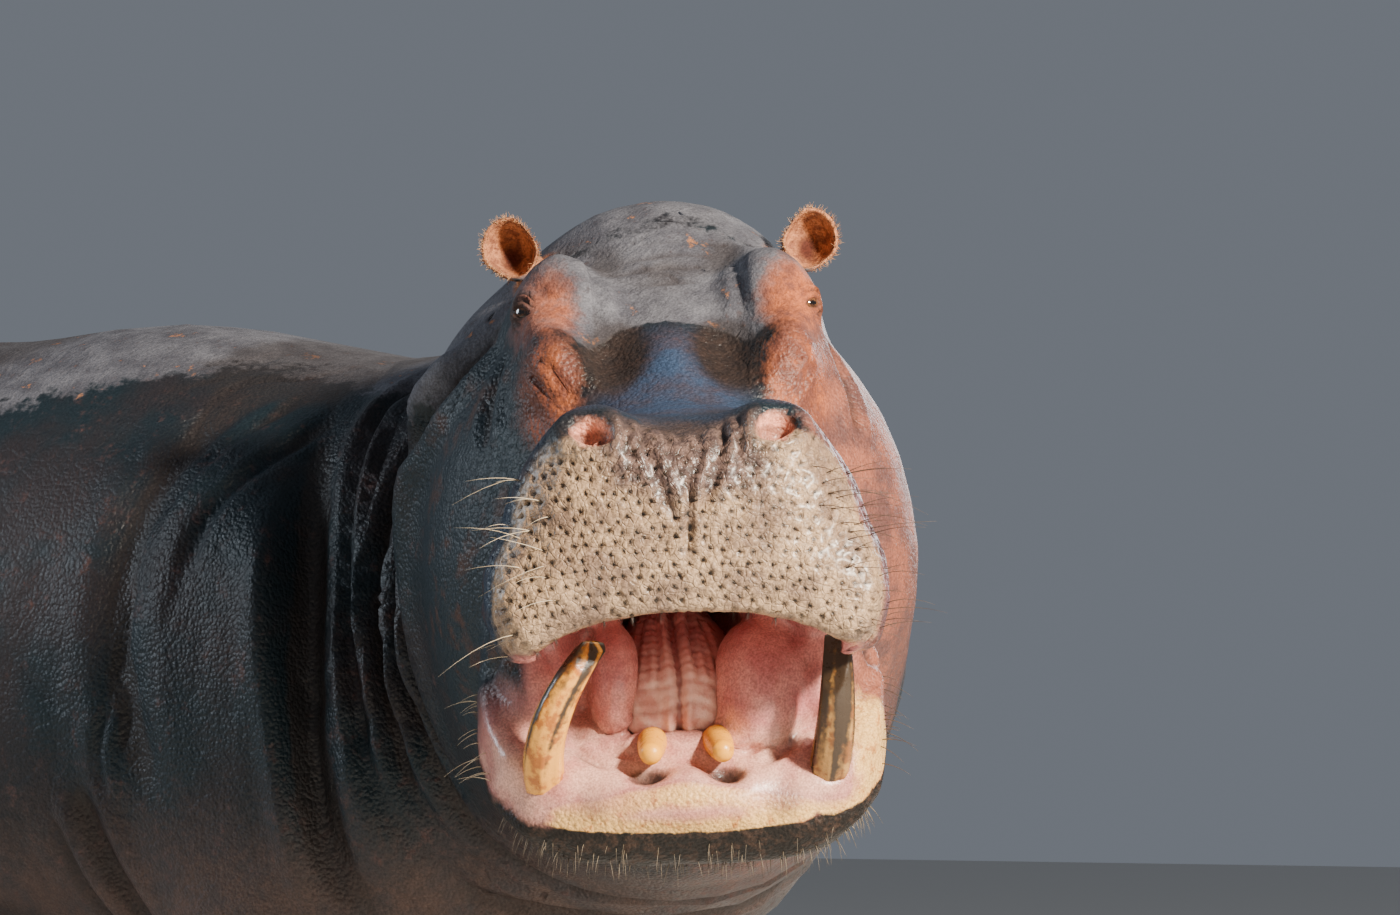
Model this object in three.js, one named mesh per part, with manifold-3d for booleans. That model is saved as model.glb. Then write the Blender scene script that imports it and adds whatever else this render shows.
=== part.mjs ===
// A life-size hippopotamus bull, standing square with its head turned to its right and its mouth
// half open. Millimetres, +Z up, floor at z = 0, body heading -Y, animal's left at +X.
//
// The flesh is one soft-edged field: a body swept along a spine that is straight in the trunk and
// bends in the neck, with muscles and the forms of the head blended into it. Each part is a
// cylinder whose vertices are carried out from the part's own axis to that field, so that the
// parts are smooth, and rings on a shared plane make neighbours meet.
import * as THREE from "three";
import { mergeVertices } from "three/addons/utils/BufferGeometryUtils.js";
import Module from "manifold-3d";

const wasm = await Module();
wasm.setup();

// ---------------------------------------------------------------- driving dimensions
const GAP = 0.3; // between solids that touch
const CLEAR = 3 * GAP; // how much larger a cutter made from coarse facets is
const NECK_LENGTH = 670; // along the spine, from the shoulders to the nape
const NECK_TURN = THREE.MathUtils.degToRad(50); // how far the head looks to the animal's right
const HEAD_LENGTH = 780; // from the nape to the front of the muzzle
const HEAD_ROLL = THREE.MathUtils.degToRad(2); // the left side of the head is held a little higher
const JAW_DROP = THREE.MathUtils.degToRad(40); // of the lower jaw below the horizontal
const JAW_ASIDE = -5; // how far the lower jaw is carried to the animal's left
const SNOUT_SLOPE = 19; // degrees that the bridge of the snout falls towards the nostrils

const JAW_HINGE = { y: 600, z: 1220 }; // in the head's frame
const MOUTH_CORNER = { y: 345, z: 1082 };
const EYE_RADIUS = 24;
const EYE_PROUD = 8; // how far the eyeball stands out of the orbit
const EAR = { x: 203, y: 660, z: 1576, width: 88, height: 100, wall: 9 };

// Sections of the body along the spine: s is the distance behind the shoulders, and crest how much
// narrower the top is. The rump closes the last one as an ellipsoid does.
const BODY_SECTIONS = [
  { s: -1000, top: 1420, bottom: 960, half: 225, crest: 0.3 },
  { s: -850, top: 1560, bottom: 825, half: 285, crest: 0.32 },
  { s: -700, top: 1610, bottom: 715, half: 322, crest: 0.3 },
  { s: -480, top: 1535, bottom: 640, half: 362, crest: 0.22 },
  { s: -240, top: 1478, bottom: 560, half: 412, crest: 0.12 },
  { s: 0, top: 1472, bottom: 515, half: 460, crest: 0.06 },
  { s: 300, top: 1496, bottom: 466, half: 540, crest: 0 },
  { s: 620, top: 1520, bottom: 430, half: 590, crest: 0 },
  { s: 950, top: 1520, bottom: 418, half: 602, crest: 0 },
  { s: 1300, top: 1494, bottom: 446, half: 580, crest: 0 },
  { s: 1600, top: 1452, bottom: 535, half: 515, crest: 0 },
  { s: 1760, top: 1408, bottom: 615, half: 460, crest: 0 },
];
const RUMP_LENGTH = 380;

const LEGS = [
  { name: "foreleg_left", side: 1, fore: true, step: 45 },
  { name: "foreleg_right", side: -1, fore: true, step: -50 },
  { name: "hindleg_left", side: 1, fore: false, step: -55 },
  { name: "hindleg_right", side: -1, fore: false, step: 55 },
];
const ANKLE_HEIGHT = 118; // where a leg and its foot part
// Down the middle of each left leg: where it is and how thick.
const FORELEG = [
  { x: 300, y: 60, z: 760, radius: 195 },
  { x: 308, y: 95, z: 540, radius: 164 },
  { x: 302, y: 40, z: 280, radius: 130 },
  { x: 302, y: 20, z: 118, radius: 124 },
  { x: 302, y: 0, z: 0, radius: 134 },
];
const HINDLEG = [
  { x: 318, y: 1560, z: 760, radius: 215 },
  { x: 338, y: 1500, z: 560, radius: 178 },
  { x: 322, y: 1680, z: 330, radius: 126 },
  { x: 322, y: 1655, z: 118, radius: 118 },
  { x: 322, y: 1640, z: 0, radius: 130 },
];
const TOE_ANGLES = [-54, -19, 19, 54]; // from straight ahead
const TOE_REACH = 108; // of the middle of a toe from the middle of the foot

// ---------------------------------------------------------------- soft shapes
const V = (x, y, z) => new THREE.Vector3(x, y, z);
const degrees = THREE.MathUtils.degToRad;

// A rounded mass: an ellipsoid, or squarer with a higher power. Its x radius shrinks upwards by
// `taper`, and `turn` tips it about x, y and z in degrees. Gives a distance in millimetres.
function mass(centre, radii, { turn = [0, 0, 0], power = 2, taper = 0, blend = 60 } = {}) {
  const spin = new THREE.Matrix4().makeRotationFromEuler(new THREE.Euler(...turn.map(degrees)));
  const e = spin.elements;
  const distance = (x, y, z) => {
    const dx = x - centre[0];
    const dy = y - centre[1];
    const dz = z - centre[2];
    const up = dx * e[8] + dy * e[9] + dz * e[10];
    const wide = radii[0] * Math.max(0.3, 1 - (taper * up) / radii[2]);
    const a = Math.abs(dx * e[0] + dy * e[1] + dz * e[2]) / wide;
    const b = Math.abs(dx * e[4] + dy * e[5] + dz * e[6]) / radii[1];
    const c = Math.abs(up) / radii[2];
    const g = Math.pow(a ** power + b ** power + c ** power, 1 / power) + 1e-9;
    const slope =
      Math.hypot(a ** (power - 1) / wide, b ** (power - 1) / radii[1], c ** (power - 1) / radii[2]) *
      g ** (1 - power);
    return (g - 1) / Math.max(slope, 1e-6);
  };
  return { distance, blend };
}

// The same mass on both sides of the head or body.
function pair(centre, radii, { turn = [0, 0, 0], ...rest } = {}) {
  return [1, -1].map((side) =>
    mass([side * centre[0], centre[1], centre[2]], radii, {
      turn: [turn[0], side * turn[1], side * turn[2]],
      ...rest,
    }),
  );
}

// A limb segment that tapers from radius ra to rb.
function bone(start, end, ra, rb, blend = 60) {
  const along = end.clone().sub(start);
  const length2 = along.lengthSq();
  const distance = (x, y, z) => {
    const px = x - start.x;
    const py = y - start.y;
    const pz = z - start.z;
    const t = Math.min(1, Math.max(0, (px * along.x + py * along.y + pz * along.z) / length2));
    return Math.hypot(px - t * along.x, py - t * along.y, pz - t * along.z) - (ra + t * (rb - ra));
  };
  return { distance, blend };
}

function softMin(a, b, blend) {
  const h = Math.max(blend - Math.abs(a - b), 0) / blend;
  return Math.min(a, b) - (h * h * blend) / 4;
}

// One distance for many masses, blended in order.
function blended(masses) {
  return (x, y, z) => {
    let d = masses[0].distance(x, y, z);
    for (let i = 1; i < masses.length; i++)
      d = softMin(d, masses[i].distance(x, y, z), masses[i].blend);
    return d;
  };
}

// ---------------------------------------------------------------- the spine and the body
const NECK_RADIUS = NECK_LENGTH / NECK_TURN;

// Where the spine is at s, and which way is left and back there.
function spineAt(s) {
  const turned = s >= 0 ? 0 : Math.min(NECK_TURN, -s / NECK_RADIUS);
  const back = V(Math.sin(turned), Math.cos(turned), 0);
  const left = V(Math.cos(turned), -Math.sin(turned), 0);
  const at = V(-NECK_RADIUS, 0, 0).addScaledVector(left, NECK_RADIUS);
  if (s > 0) at.y += s;
  if (s < -NECK_LENGTH) at.addScaledVector(back, s + NECK_LENGTH);
  return { at, left, back };
}

// The distance along the spine and the distance to its left of a point.
function spineCoordinates(x, y) {
  if (y >= 0) return [y, x];
  const turned = Math.atan2(-y, x + NECK_RADIUS);
  if (turned <= NECK_TURN && turned > -1)
    return [-NECK_RADIUS * turned, Math.hypot(x + NECK_RADIUS, y) - NECK_RADIUS];
  const end = spineAt(-NECK_LENGTH);
  const dx = x - end.at.x;
  const dy = y - end.at.y;
  return [-NECK_LENGTH + dx * end.back.x + dy * end.back.y, dx * end.left.x + dy * end.left.y];
}

// Smooth values between the sections, by a monotone-ish Catmull-Rom on uneven steps.
function sectionAt(s) {
  const list = BODY_SECTIONS;
  const last = list.length - 1;
  const clamped = Math.min(list[last].s, Math.max(list[0].s, s));
  let i = 0;
  while (i < last - 1 && list[i + 1].s < clamped) i++;
  const a = list[i];
  const b = list[i + 1];
  const t = (clamped - a.s) / (b.s - a.s);
  const value = (key) => {
    const before = list[Math.max(0, i - 1)];
    const after = list[Math.min(last, i + 2)];
    const ma = ((b[key] - before[key]) / (b.s - before.s)) * (b.s - a.s);
    const mb = ((after[key] - a[key]) / (after.s - a.s)) * (b.s - a.s);
    const t2 = t * t;
    const t3 = t2 * t;
    return (
      (2 * t3 - 3 * t2 + 1) * a[key] + (t3 - 2 * t2 + t) * ma + (3 * t2 - 2 * t3) * b[key] + (t3 - t2) * mb
    );
  };
  return { top: value("top"), bottom: value("bottom"), half: value("half"), crest: value("crest") };
}

// The swept body: sections a little squarer than an ellipse, widest below their middle.
const bodySweep = {
  blend: 60,
  distance: (x, y, z) => {
    const [s, u] = spineCoordinates(x, y);
    const { top, bottom, half, crest } = sectionAt(s);
    const middle = bottom + 0.46 * (top - bottom);
    const high = z > middle ? top - middle : middle - bottom;
    const power = 2.25;
    const a = Math.abs(u) / (half * (1 - crest * Math.min(1, Math.max(0, z - middle) / high)));
    const b = Math.abs(z - middle) / high;
    const past = Math.max(0, s - BODY_SECTIONS.at(-1).s, BODY_SECTIONS[0].s - s);
    const c = past / (s > 0 ? RUMP_LENGTH : 120);
    const g = Math.pow(a ** power + b ** power + c ** power, 1 / power) + 1e-9;
    const across = (Math.hypot(u, z - middle, past) * (g - 1)) / g;
    return across;
  },
};

const bodyMuscles = [
  ...pair([330, 70, 870], [180, 245, 400], { turn: [-6, 0, 0], blend: 120 }), // shoulders
  ...pair([300, -110, 820], [150, 190, 230], { blend: 130 }), // points of the shoulders
  ...pair([335, 1570, 830], [190, 280, 400], { turn: [8, 0, 0], blend: 130 }), // thighs
  mass([0, -210, 760], [300, 230, 210], { blend: 120 }), // brisket
];

// ---------------------------------------------------------------- the head
// The head's frame: x to the animal's left, y back from the front of the muzzle, z up from the
// floor. headPose carries it to the end of the neck.
const headBase = spineAt(-NECK_LENGTH).at;
const headPose = new THREE.Matrix4()
  .makeTranslation(headBase.x, headBase.y, 0)
  .multiply(new THREE.Matrix4().makeRotationZ(-NECK_TURN))
  .multiply(new THREE.Matrix4().makeTranslation(0, -HEAD_LENGTH, 1200))
  .multiply(new THREE.Matrix4().makeRotationY(-HEAD_ROLL))
  .multiply(new THREE.Matrix4().makeTranslation(0, 0, -1200));
const headPoseBack = headPose.clone().invert();

const headMasses = [
  mass([0, 630, 1385], [158, 220, 158], { turn: [26, 0, 0], power: 2.4 }), // brain case
  mass([0, 780, 1498], [178, 150, 134], { turn: [10, 0, 0], power: 2.3, blend: 110 }), // crown
  mass([0, 345, 1285], [100, 250, 80], { turn: [SNOUT_SLOPE, 0, 0], power: 2.4, blend: 60 }), // bridge
  mass([0, 370, 1200], [176, 230, 122], { turn: [12, 0, 0], power: 2.4, blend: 70 }), // waist
  mass([0, 160, 1176], [238, 156, 150], { turn: [5, 0, 0], power: 3.4, taper: 0.1, blend: 50 }), // muzzle
  ...pair([200, 142, 1086], [62, 125, 86], { turn: [4, 0, 0], power: 2.6, blend: 40 }), // upper lips
  ...pair([120, 98, 1298], [58, 70, 42], { turn: [12, 0, 0], blend: 40 }), // nostril mounds
  ...pair([150, 535, 1484], [54, 82, 82], { turn: [16, 0, -8], blend: 34 }), // brows and orbits
  ...pair([152, 455, 1390], [52, 100, 92], { turn: [26, 0, -8], blend: 50 }), // below the eyes
  ...pair([204, 575, 1115], [118, 175, 205], { turn: [-6, 8, 0], blend: 90 }), // masseters
  ...pair([184, 590, 1290], [100, 170, 120], { blend: 80 }), // cheekbones
  mass([0, 690, 925], [262, 205, 205], { blend: 120 }), // throat
  mass([-212, 800, 1365], [108, 160, 150], { blend: 110 }), // hide bunched inside the neck's bend
];

const headField = blended(headMasses);
const inHeadFrame = V(0, 0, 0);
const headInBody = {
  blend: 120,
  distance: (x, y, z) => {
    inHeadFrame.set(x, y, z).applyMatrix4(headPoseBack);
    return headField(inHeadFrame.x, inHeadFrame.y, inHeadFrame.z);
  },
};

const fleshField = blended([bodySweep, ...bodyMuscles, headInBody]);
// The same field, read in the head's frame.
const inBodyFrame = V(0, 0, 0);
const fleshInHead = (x, y, z) => {
  inBodyFrame.set(x, y, z).applyMatrix4(headPose);
  return fleshField(inBodyFrame.x, inBodyFrame.y, inBodyFrame.z);
};

// ---------------------------------------------------------------- from a field to a mesh
// How far it is from `from` along `way` to the surface of the field.
function reach(field, from, way, most) {
  const COARSE = 10;
  let inner = 0;
  let outer = COARSE;
  const at = (t) => field(from.x + way.x * t, from.y + way.y * t, from.z + way.z * t);
  while (outer < most && at(outer) < 0) {
    inner = outer;
    outer += COARSE;
  }
  for (let i = 0; i < 14; i++) {
    const middle = (inner + outer) / 2;
    if (at(middle) < 0) inner = middle;
    else outer = middle;
  }
  return Math.min(outer, most);
}

// A closed mesh from a cylinder: row by row, its rings become the stations' rings. Each station
// has a centre, a right and an up direction; `lean` tips its rays forwards along right x up.
// The two cap centres lie on the end planes, or on the field where the end station leans.
function wrap(field, segments, stations, most = 1200) {
  const rows = stations.length - 1;
  const tube = new THREE.CylinderGeometry(1, 1, 1, segments, rows);
  tube.deleteAttribute("normal");
  tube.deleteAttribute("uv");
  const mesh = mergeVertices(tube, 1e-4);
  const position = mesh.getAttribute("position");
  for (let i = 0; i < position.count; i++) {
    const row = Math.round((0.5 - position.getY(i)) * rows);
    const { centre, right, up, lean = 0 } = stations[row];
    const around = Math.hypot(position.getX(i), position.getZ(i));
    const forward = V(0, 0, 0).crossVectors(right, up);
    const way = V(0, 0, 0);
    if (around > 0.5) {
      way.addScaledVector(right, position.getX(i) * Math.cos(lean));
      way.addScaledVector(up, position.getZ(i) * Math.cos(lean));
      way.addScaledVector(forward, Math.sin(lean));
    } else if (lean) way.copy(forward).multiplyScalar(Math.sign(lean));
    const distance = way.lengthSq() > 0 ? reach(field, centre, way.normalize(), most) : 0;
    const p = centre.clone().addScaledVector(way, distance);
    position.setXYZ(i, p.x, p.y, p.z);
  }
  return solid(mesh);
}

function solid(geometry) {
  const plain = new THREE.BufferGeometry().setAttribute("position", geometry.getAttribute("position"));
  if (geometry.index) plain.setIndex(geometry.index);
  const merged = mergeVertices(plain, 1e-3);
  const make = (triVerts) =>
    new wasm.Manifold(
      new wasm.Mesh({
        numProp: 3,
        vertProperties: new Float32Array(merged.getAttribute("position").array),
        triVerts,
      }),
    );
  const triVerts = new Uint32Array(merged.index.array);
  const made = make(triVerts);
  if (made.volume() > 0) return made;
  for (let i = 0; i < triVerts.length; i += 3)
    [triVerts[i + 1], triVerts[i + 2]] = [triVerts[i + 2], triVerts[i + 1]];
  return make(triVerts);
}

function geometryOf(made) {
  const { vertProperties, triVerts, numProp, numVert } = made.getMesh();
  const points = new Float32Array(numVert * 3);
  for (let i = 0; i < numVert; i++)
    points.set(vertProperties.subarray(i * numProp, i * numProp + 3), i * 3);
  return new THREE.BufferGeometry()
    .setAttribute("position", new THREE.BufferAttribute(points, 3))
    .setIndex(new THREE.BufferAttribute(triVerts, 1));
}

// The field grown by `by`, for a copy to cut a neighbour with.
const grown = (field, by) => (x, y, z) => field(x, y, z) - by;

// Numbers from a to b in n steps, both ends included.
const steps = (a, b, n) => Array.from({ length: n + 1 }, (_, i) => a + ((b - a) * i) / n);

// ---------------------------------------------------------------- flesh of the body
const TRUNK_FRONT = -60; // s of the plane between neck and trunk
const RUMP_START = 1720; // s from which the rings lean back over the rump
const TRUNK_AXIS_HEIGHT = 1010;
const HEAD_AXIS_HEIGHT = 1230; // at the nape
const MUZZLE_AXIS = { y: 160, z: 1185 }; // where the rings start to lean over the muzzle
const RIGHT = V(1, 0, 0);
const UP = V(0, 0, 1);

function trunkStations(front = TRUNK_FRONT + GAP / 2) {
  const ringAt = (s, lean = 0) => {
    const { at, left } = spineAt(s);
    return { centre: at.setZ(TRUNK_AXIS_HEIGHT), right: left, up: UP, lean: degrees(lean) };
  };
  const straight = steps(front, RUMP_START, 12).map((s) => ringAt(s));
  const round = [-15, -30, -45, -60, -75].map((lean) => ringAt(RUMP_START, lean));
  return [...straight, ...round];
}
const trunkField = blended([bodySweep, ...bodyMuscles]);

const neckEnd = -(NECK_LENGTH - GAP);
function neckStations() {
  return steps(TRUNK_FRONT - GAP / 2, neckEnd, 8).map((s) => {
    const { at, left } = spineAt(s);
    at.z = THREE.MathUtils.lerp(TRUNK_AXIS_HEIGHT, HEAD_AXIS_HEIGHT, s / neckEnd);
    return { centre: at, right: left, up: UP };
  });
}

// ---------------------------------------------------------------- more ways to a solid
// A closed ellipsoid, or squarer with a higher power.
function blob(centre, radii, { turn = [0, 0, 0], power = 2, across = 20, down = 12 } = {}) {
  const ball = new THREE.SphereGeometry(1, across, down);
  const position = ball.getAttribute("position");
  for (let i = 0; i < position.count; i++) {
    const [x, y, z] = [position.getX(i), position.getY(i), position.getZ(i)];
    const k = (Math.abs(x) ** power + Math.abs(y) ** power + Math.abs(z) ** power) ** (-1 / power);
    position.setXYZ(i, x * k * radii[0], y * k * radii[1], z * k * radii[2]);
  }
  ball.applyMatrix4(new THREE.Matrix4().makeRotationFromEuler(new THREE.Euler(...turn.map(degrees))));
  ball.translate(...centre);
  return solid(ball);
}

// A tapered tube along a curve: `radius` gives [across, deep] at t from 0 to 1, and `side` is the
// direction that "across" lies in.
function taperedTube(curve, radius, side, { segments = 12, rows = 8, grow = 0 } = {}) {
  const tube = new THREE.CylinderGeometry(1, 1, 1, segments, rows);
  const position = tube.getAttribute("position");
  for (let i = 0; i < position.count; i++) {
    const t = 0.5 - position.getY(i);
    const [wide, deep] = radius(t);
    const along = curve.getTangent(t);
    const right = side.clone().addScaledVector(along, -side.dot(along)).normalize();
    const front = V(0, 0, 0).crossVectors(along, right);
    const end = t < 1e-6 ? -grow : t > 1 - 1e-6 ? grow : 0;
    const p = curve.getPoint(t).addScaledVector(along, end);
    p.addScaledVector(right, position.getX(i) * (wide + grow));
    p.addScaledVector(front, position.getZ(i) * (deep + grow));
    position.setXYZ(i, p.x, p.y, p.z);
  }
  return solid(tube);
}

function moved(made, matrix) {
  const geometry = geometryOf(made);
  geometry.applyMatrix4(matrix);
  return solid(geometry);
}

const pairOf = (make) => [1, -1].map(make);
const less = (made, ...cutters) => cutters.reduce((left, cutter) => left.subtract(cutter), made);

// ---------------------------------------------------------------- finishes
const finish = (color, roughness) => new THREE.MeshStandardMaterial({ color, roughness, metalness: 0 });
const FINISH = {
  hide: finish(0x4d4245, 0.55),
  muzzle: finish(0x8a7f70, 0.5),
  ear: finish(0xa8623f, 0.7),
  eye: finish(0x1b120d, 0.1),
  tongue: finish(0xb5605f, 0.35),
  ivory: finish(0xb07a2a, 0.3),
  nail: finish(0x3a332e, 0.5),
};

const parts = [];
const add = (name, made, material, pose) => parts.push({ name, made, material, pose });

// ---------------------------------------------------------------- trunk and neck
add("trunk", wrap(trunkField, 26, trunkStations()), FINISH.hide);
const trunkCutter = wrap(grown(trunkField, CLEAR), 26, trunkStations(TRUNK_FRONT - 2));
add("neck", wrap(fleshField, 26, neckStations()), FINISH.hide);
const neckCutter = wrap(grown(fleshField, CLEAR), 26, neckStations());

// ---------------------------------------------------------------- tusks
// The jaw's frame: at the hinge, y back along the jaw, z away from its underside.
const jawPose = new THREE.Matrix4()
  .makeTranslation(JAW_ASIDE, JAW_HINGE.y, JAW_HINGE.z)
  .multiply(new THREE.Matrix4().makeRotationX(JAW_DROP));
const tuskCurve = (side) =>
  new THREE.QuadraticBezierCurve3(
    V(side * 186, -535, -30),
    V(side * 200, -545, 80),
    V(side * (side > 0 ? 200 : 118), -478, 155),
  );
const tusk = (side, grow = 0) =>
  taperedTube(
    tuskCurve(side),
    (t) => [26 - 11 * t * t, 24 - 9 * t * t],
    RIGHT,
    { segments: 10, rows: 5, grow },
  );
const tusksIn = (pose) => pairOf((side) => moved(tusk(side, GAP), pose));

// ---------------------------------------------------------------- head
function headStations() {
  const { y: front, z: low } = MUZZLE_AXIS;
  const back = HEAD_LENGTH - GAP;
  const ringAt = (y, lean = 0) => {
    const z = THREE.MathUtils.mapLinear(y, front, back, low, HEAD_AXIS_HEIGHT);
    return { centre: V(0, y, z), right: RIGHT, up: UP, lean: degrees(lean) };
  };
  const round = [77, 64, 51, 38, 25, 13].map((lean) => ringAt(front, lean));
  return [...round, ...steps(front, back, 11).map((y) => ringAt(y))];
}

// What the open mouth leaves out: a wedge between the lips as wide as the head, the vault of the
// palate and the throat. `shrink` makes each smaller.
function lipWedge(shrink) {
  const slope = (angle) => 800 * Math.tan(degrees(angle));
  const { y, z } = MOUTH_CORNER;
  const side = new THREE.Shape();
  side.moveTo(y - 3 * shrink, z - 1.7 * shrink);
  side.lineTo(y - 800, z - slope(16.5) - shrink);
  side.lineTo(y - 800, z - slope(42.5) + shrink);
  const prism = new THREE.ExtrudeGeometry(side, { depth: 1000, bevelEnabled: false });
  // the shape's x and y become y and z of the head
  prism.applyMatrix4(new THREE.Matrix4().makeBasis(V(0, 1, 0), V(0, 0, 1), RIGHT));
  prism.translate(-500, 0, 0);
  return solid(prism);
}

function mouthCutters(shrink = 0) {
  const palate = blob([0, 100, 1026], [210 - shrink, 250 - shrink, 62 - shrink], {
    turn: [12, 0, 0],
    power: 1.7,
    across: 16,
    down: 8,
  });
  const throat = blob([0, 318, 1036], [86 - shrink, 300 - shrink, 64 - shrink], {
    turn: [30, 0, 0],
    across: 12,
    down: 8,
  });
  return [lipWedge(shrink), palate, throat];
}

// The nostrils are slots that slope outwards and down in the tops of their mounds.
const nostrilWay = V(0.1, -0.62, 0.78).normalize();
const nostrilRoot = V(118, 110, 1250);
const nostrilDepth = reach(fleshInHead, nostrilRoot, nostrilWay, 200) - 8;
const nostrilAt = nostrilRoot.clone().addScaledVector(nostrilWay, nostrilDepth);
const nostrils = pairOf((side) =>
  blob([side * nostrilAt.x, nostrilAt.y, nostrilAt.z], [24, 14, 26], {
    turn: [-30, side * 24, 0],
    across: 10,
    down: 7,
  }),
);
// An eyeball lies in the front and outer face of its orbit.
const orbit = V(150, 534, 1474);
const gaze = V(0.58, -0.8, 0.14).normalize();
const eyeDepth = reach(headField, orbit, gaze, 200) - (EYE_RADIUS - EYE_PROUD);
const eyeCentre = orbit.clone().addScaledVector(gaze, eyeDepth);
const eyeball = (side, grow = 0) =>
  blob([side * eyeCentre.x, eyeCentre.y, eyeCentre.z], Array(3).fill(EYE_RADIUS + grow), {
    across: 10,
    down: 7,
  });

const headStationList = headStations();
const headWhole = wrap(fleshInHead, 32, headStationList);
const headCutter = wrap(grown(fleshInHead, CLEAR), 32, headStationList);
const sockets = pairOf((side) => eyeball(side, GAP));
const hollowHead = less(headWhole, ...mouthCutters(), ...tusksIn(jawPose), ...nostrils, ...sockets);
pairOf((side) => add(side > 0 ? "eye_left" : "eye_right", eyeball(side), FINISH.eye, headPose));

// ---------------------------------------------------------------- ears
function ear(side) {
  const { x, y, z, width, height, wall } = EAR;
  const turn = [-8, side * 14, 0];
  const shell = blob([side * x, y, z], [width / 2, 24, height / 2], { turn, across: 10, down: 6 });
  const cup = [width / 2 - wall, 28, height / 2 - wall];
  const hollow = blob([side * x, y - 20, z + 4], cup, { turn, across: 10, down: 4 });
  const root = blob([side * (x - 22), y + 6, z - 42], [30, 22, 30], { across: 6, down: 4 });
  return less(shell.add(root), hollow, headCutter);
}
pairOf((side) => add(side > 0 ? "ear_left" : "ear_right", ear(side), FINISH.ear, headPose));

// ---------------------------------------------------------------- lower jaw, tongue and teeth
const jawField = blended([
  mass([0, -466, -76], [260, 142, 70], { power: 3.8, taper: 0.04 }), // broad front of the chin
  ...pair([208, -430, -24], [54, 110, 64], { blend: 30 }), // sockets of the tusks
  mass([0, -280, -85], [200, 260, 88], { power: 2.6, blend: 80 }), // body of the jaw
  ...pair([204, -250, -50], [60, 240, 105], { power: 2.4, blend: 60 }), // rims towards the cheeks
  mass([0, -60, -130], [220, 200, 130], { blend: 90 }), // towards the throat
]);
const jawRing = (y, lean = 0) => ({ centre: V(0, y, -75), right: RIGHT, up: UP, lean: degrees(lean) });
const jawStations = [
  ...[75, 60, 45, 30, 15].map((lean) => jawRing(-450, lean)),
  ...steps(-450, 0, 9).map((y) => jawRing(y)),
];
// The floor of the mouth lies below the rounded rim of the lower lip. A mound of gum holds the
// incisors, and a fold of cheek on each side rises towards the corner of the mouth.
const mouthFloor = (shrink = 0) =>
  blob([0, -424, 32], [222 - shrink, 150 - shrink, 60 - shrink], { power: 2.8, across: 16, down: 8 });
const gum = (grow = 0) => blob([0, -480, -40], [86 + grow, 46 + grow, 44 + grow], { across: 10, down: 6 });
const cheekFold = (side, grow = 0) =>
  blob([side * 190, -318, 34], [62 + grow, 146 + grow, 84 + grow], { turn: [18, 0, 0], across: 10, down: 8 });

const incisorCurve = (side) =>
  new THREE.QuadraticBezierCurve3(V(side * 42, -482, -8), V(side * 45, -512, 6), V(side * 47, -546, 28));
const incisor = (side, grow = 0) =>
  taperedTube(incisorCurve(side), (t) => [21 - 3 * t, 21 - 3 * t], RIGHT, { segments: 10, rows: 2, grow });

const tongueField = blended([
  mass([-12, -190, 4], [50, 240, 60], { power: 2.4 }), // root, narrow between the cheeks
  mass([-6, -374, -12], [110, 94, 56], { power: 2.4, blend: 60 }), // broad front
]);
const tongueStations = (past = 0) =>
  steps(-466 - past, -60 + past, 8).map((y) => ({ centre: V(0, y, -34), right: RIGHT, up: UP }));
const jawFromHead = jawPose.clone().invert();
const headInJaw = moved(less(headCutter, ...mouthCutters(GAP)), jawFromHead);
const [wedgeInJaw, , throatInJaw] = mouthCutters().map((cutter) => moved(cutter, jawFromHead));
const jawTeethRoom = pairOf((side) => [tusk(side, GAP), incisor(side, GAP)]).flat();
const jawWhole = wrap(jawField, 20, jawStations);
const tongueCutter = wrap(grown(tongueField, CLEAR), 14, tongueStations(CLEAR));
// The jaw with its hollows and folds, or the same grown by `grow`.
const jawShape = (whole, grow = 0) =>
  less(whole, mouthFloor(grow), wedgeInJaw, throatInJaw)
    .add(gum(grow))
    .add(cheekFold(1, grow))
    .add(cheekFold(-1, grow));
const jaw = less(jawShape(jawWhole), headInJaw, tongueCutter, ...jawTeethRoom);
const tongue = less(wrap(tongueField, 14, tongueStations()), headInJaw);
// Pads of the inner cheeks hang from the head beside the tongue, the left one further down.
const jawCutter = moved(jawShape(wrap(grown(jawField, CLEAR), 20, jawStations), CLEAR), jawPose);
const inMouth = [tongueCutter, ...jawTeethRoom].map((cutter) => moved(cutter, jawPose));
const innerCheeks = [
  blob([97, 278, 968], [68, 80, 98], { turn: [-15, 0, 0], across: 12, down: 8 }),
  blob([-93, 284, 992], [38, 74, 74], { turn: [-15, 0, 0], across: 10, down: 6 }),
].map((pad) => less(pad, jawCutter, ...inMouth));
const head = innerCheeks.reduce((whole, pad) => whole.add(pad), hollowHead);
add("head", head, FINISH.muzzle, headPose);
const inBody = headPose.clone().multiply(jawPose);
add("lower_jaw", jaw, FINISH.muzzle, inBody);
add("tongue", tongue, FINISH.tongue, inBody);
pairOf((side) => {
  const hand = side > 0 ? "left" : "right";
  add("tusk_" + hand, tusk(side), FINISH.ivory, inBody);
  add("incisor_" + hand, incisor(side), FINISH.ivory, inBody);
});

// ---------------------------------------------------------------- legs, feet and toenails
const NAIL_HEIGHT = 34;
const NAIL_DEPTH = 6; // of a nail's middle below the skin of its toe
const ahead = (angle) => V(Math.sin(degrees(angle)), -Math.cos(degrees(angle)), 0);

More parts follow.
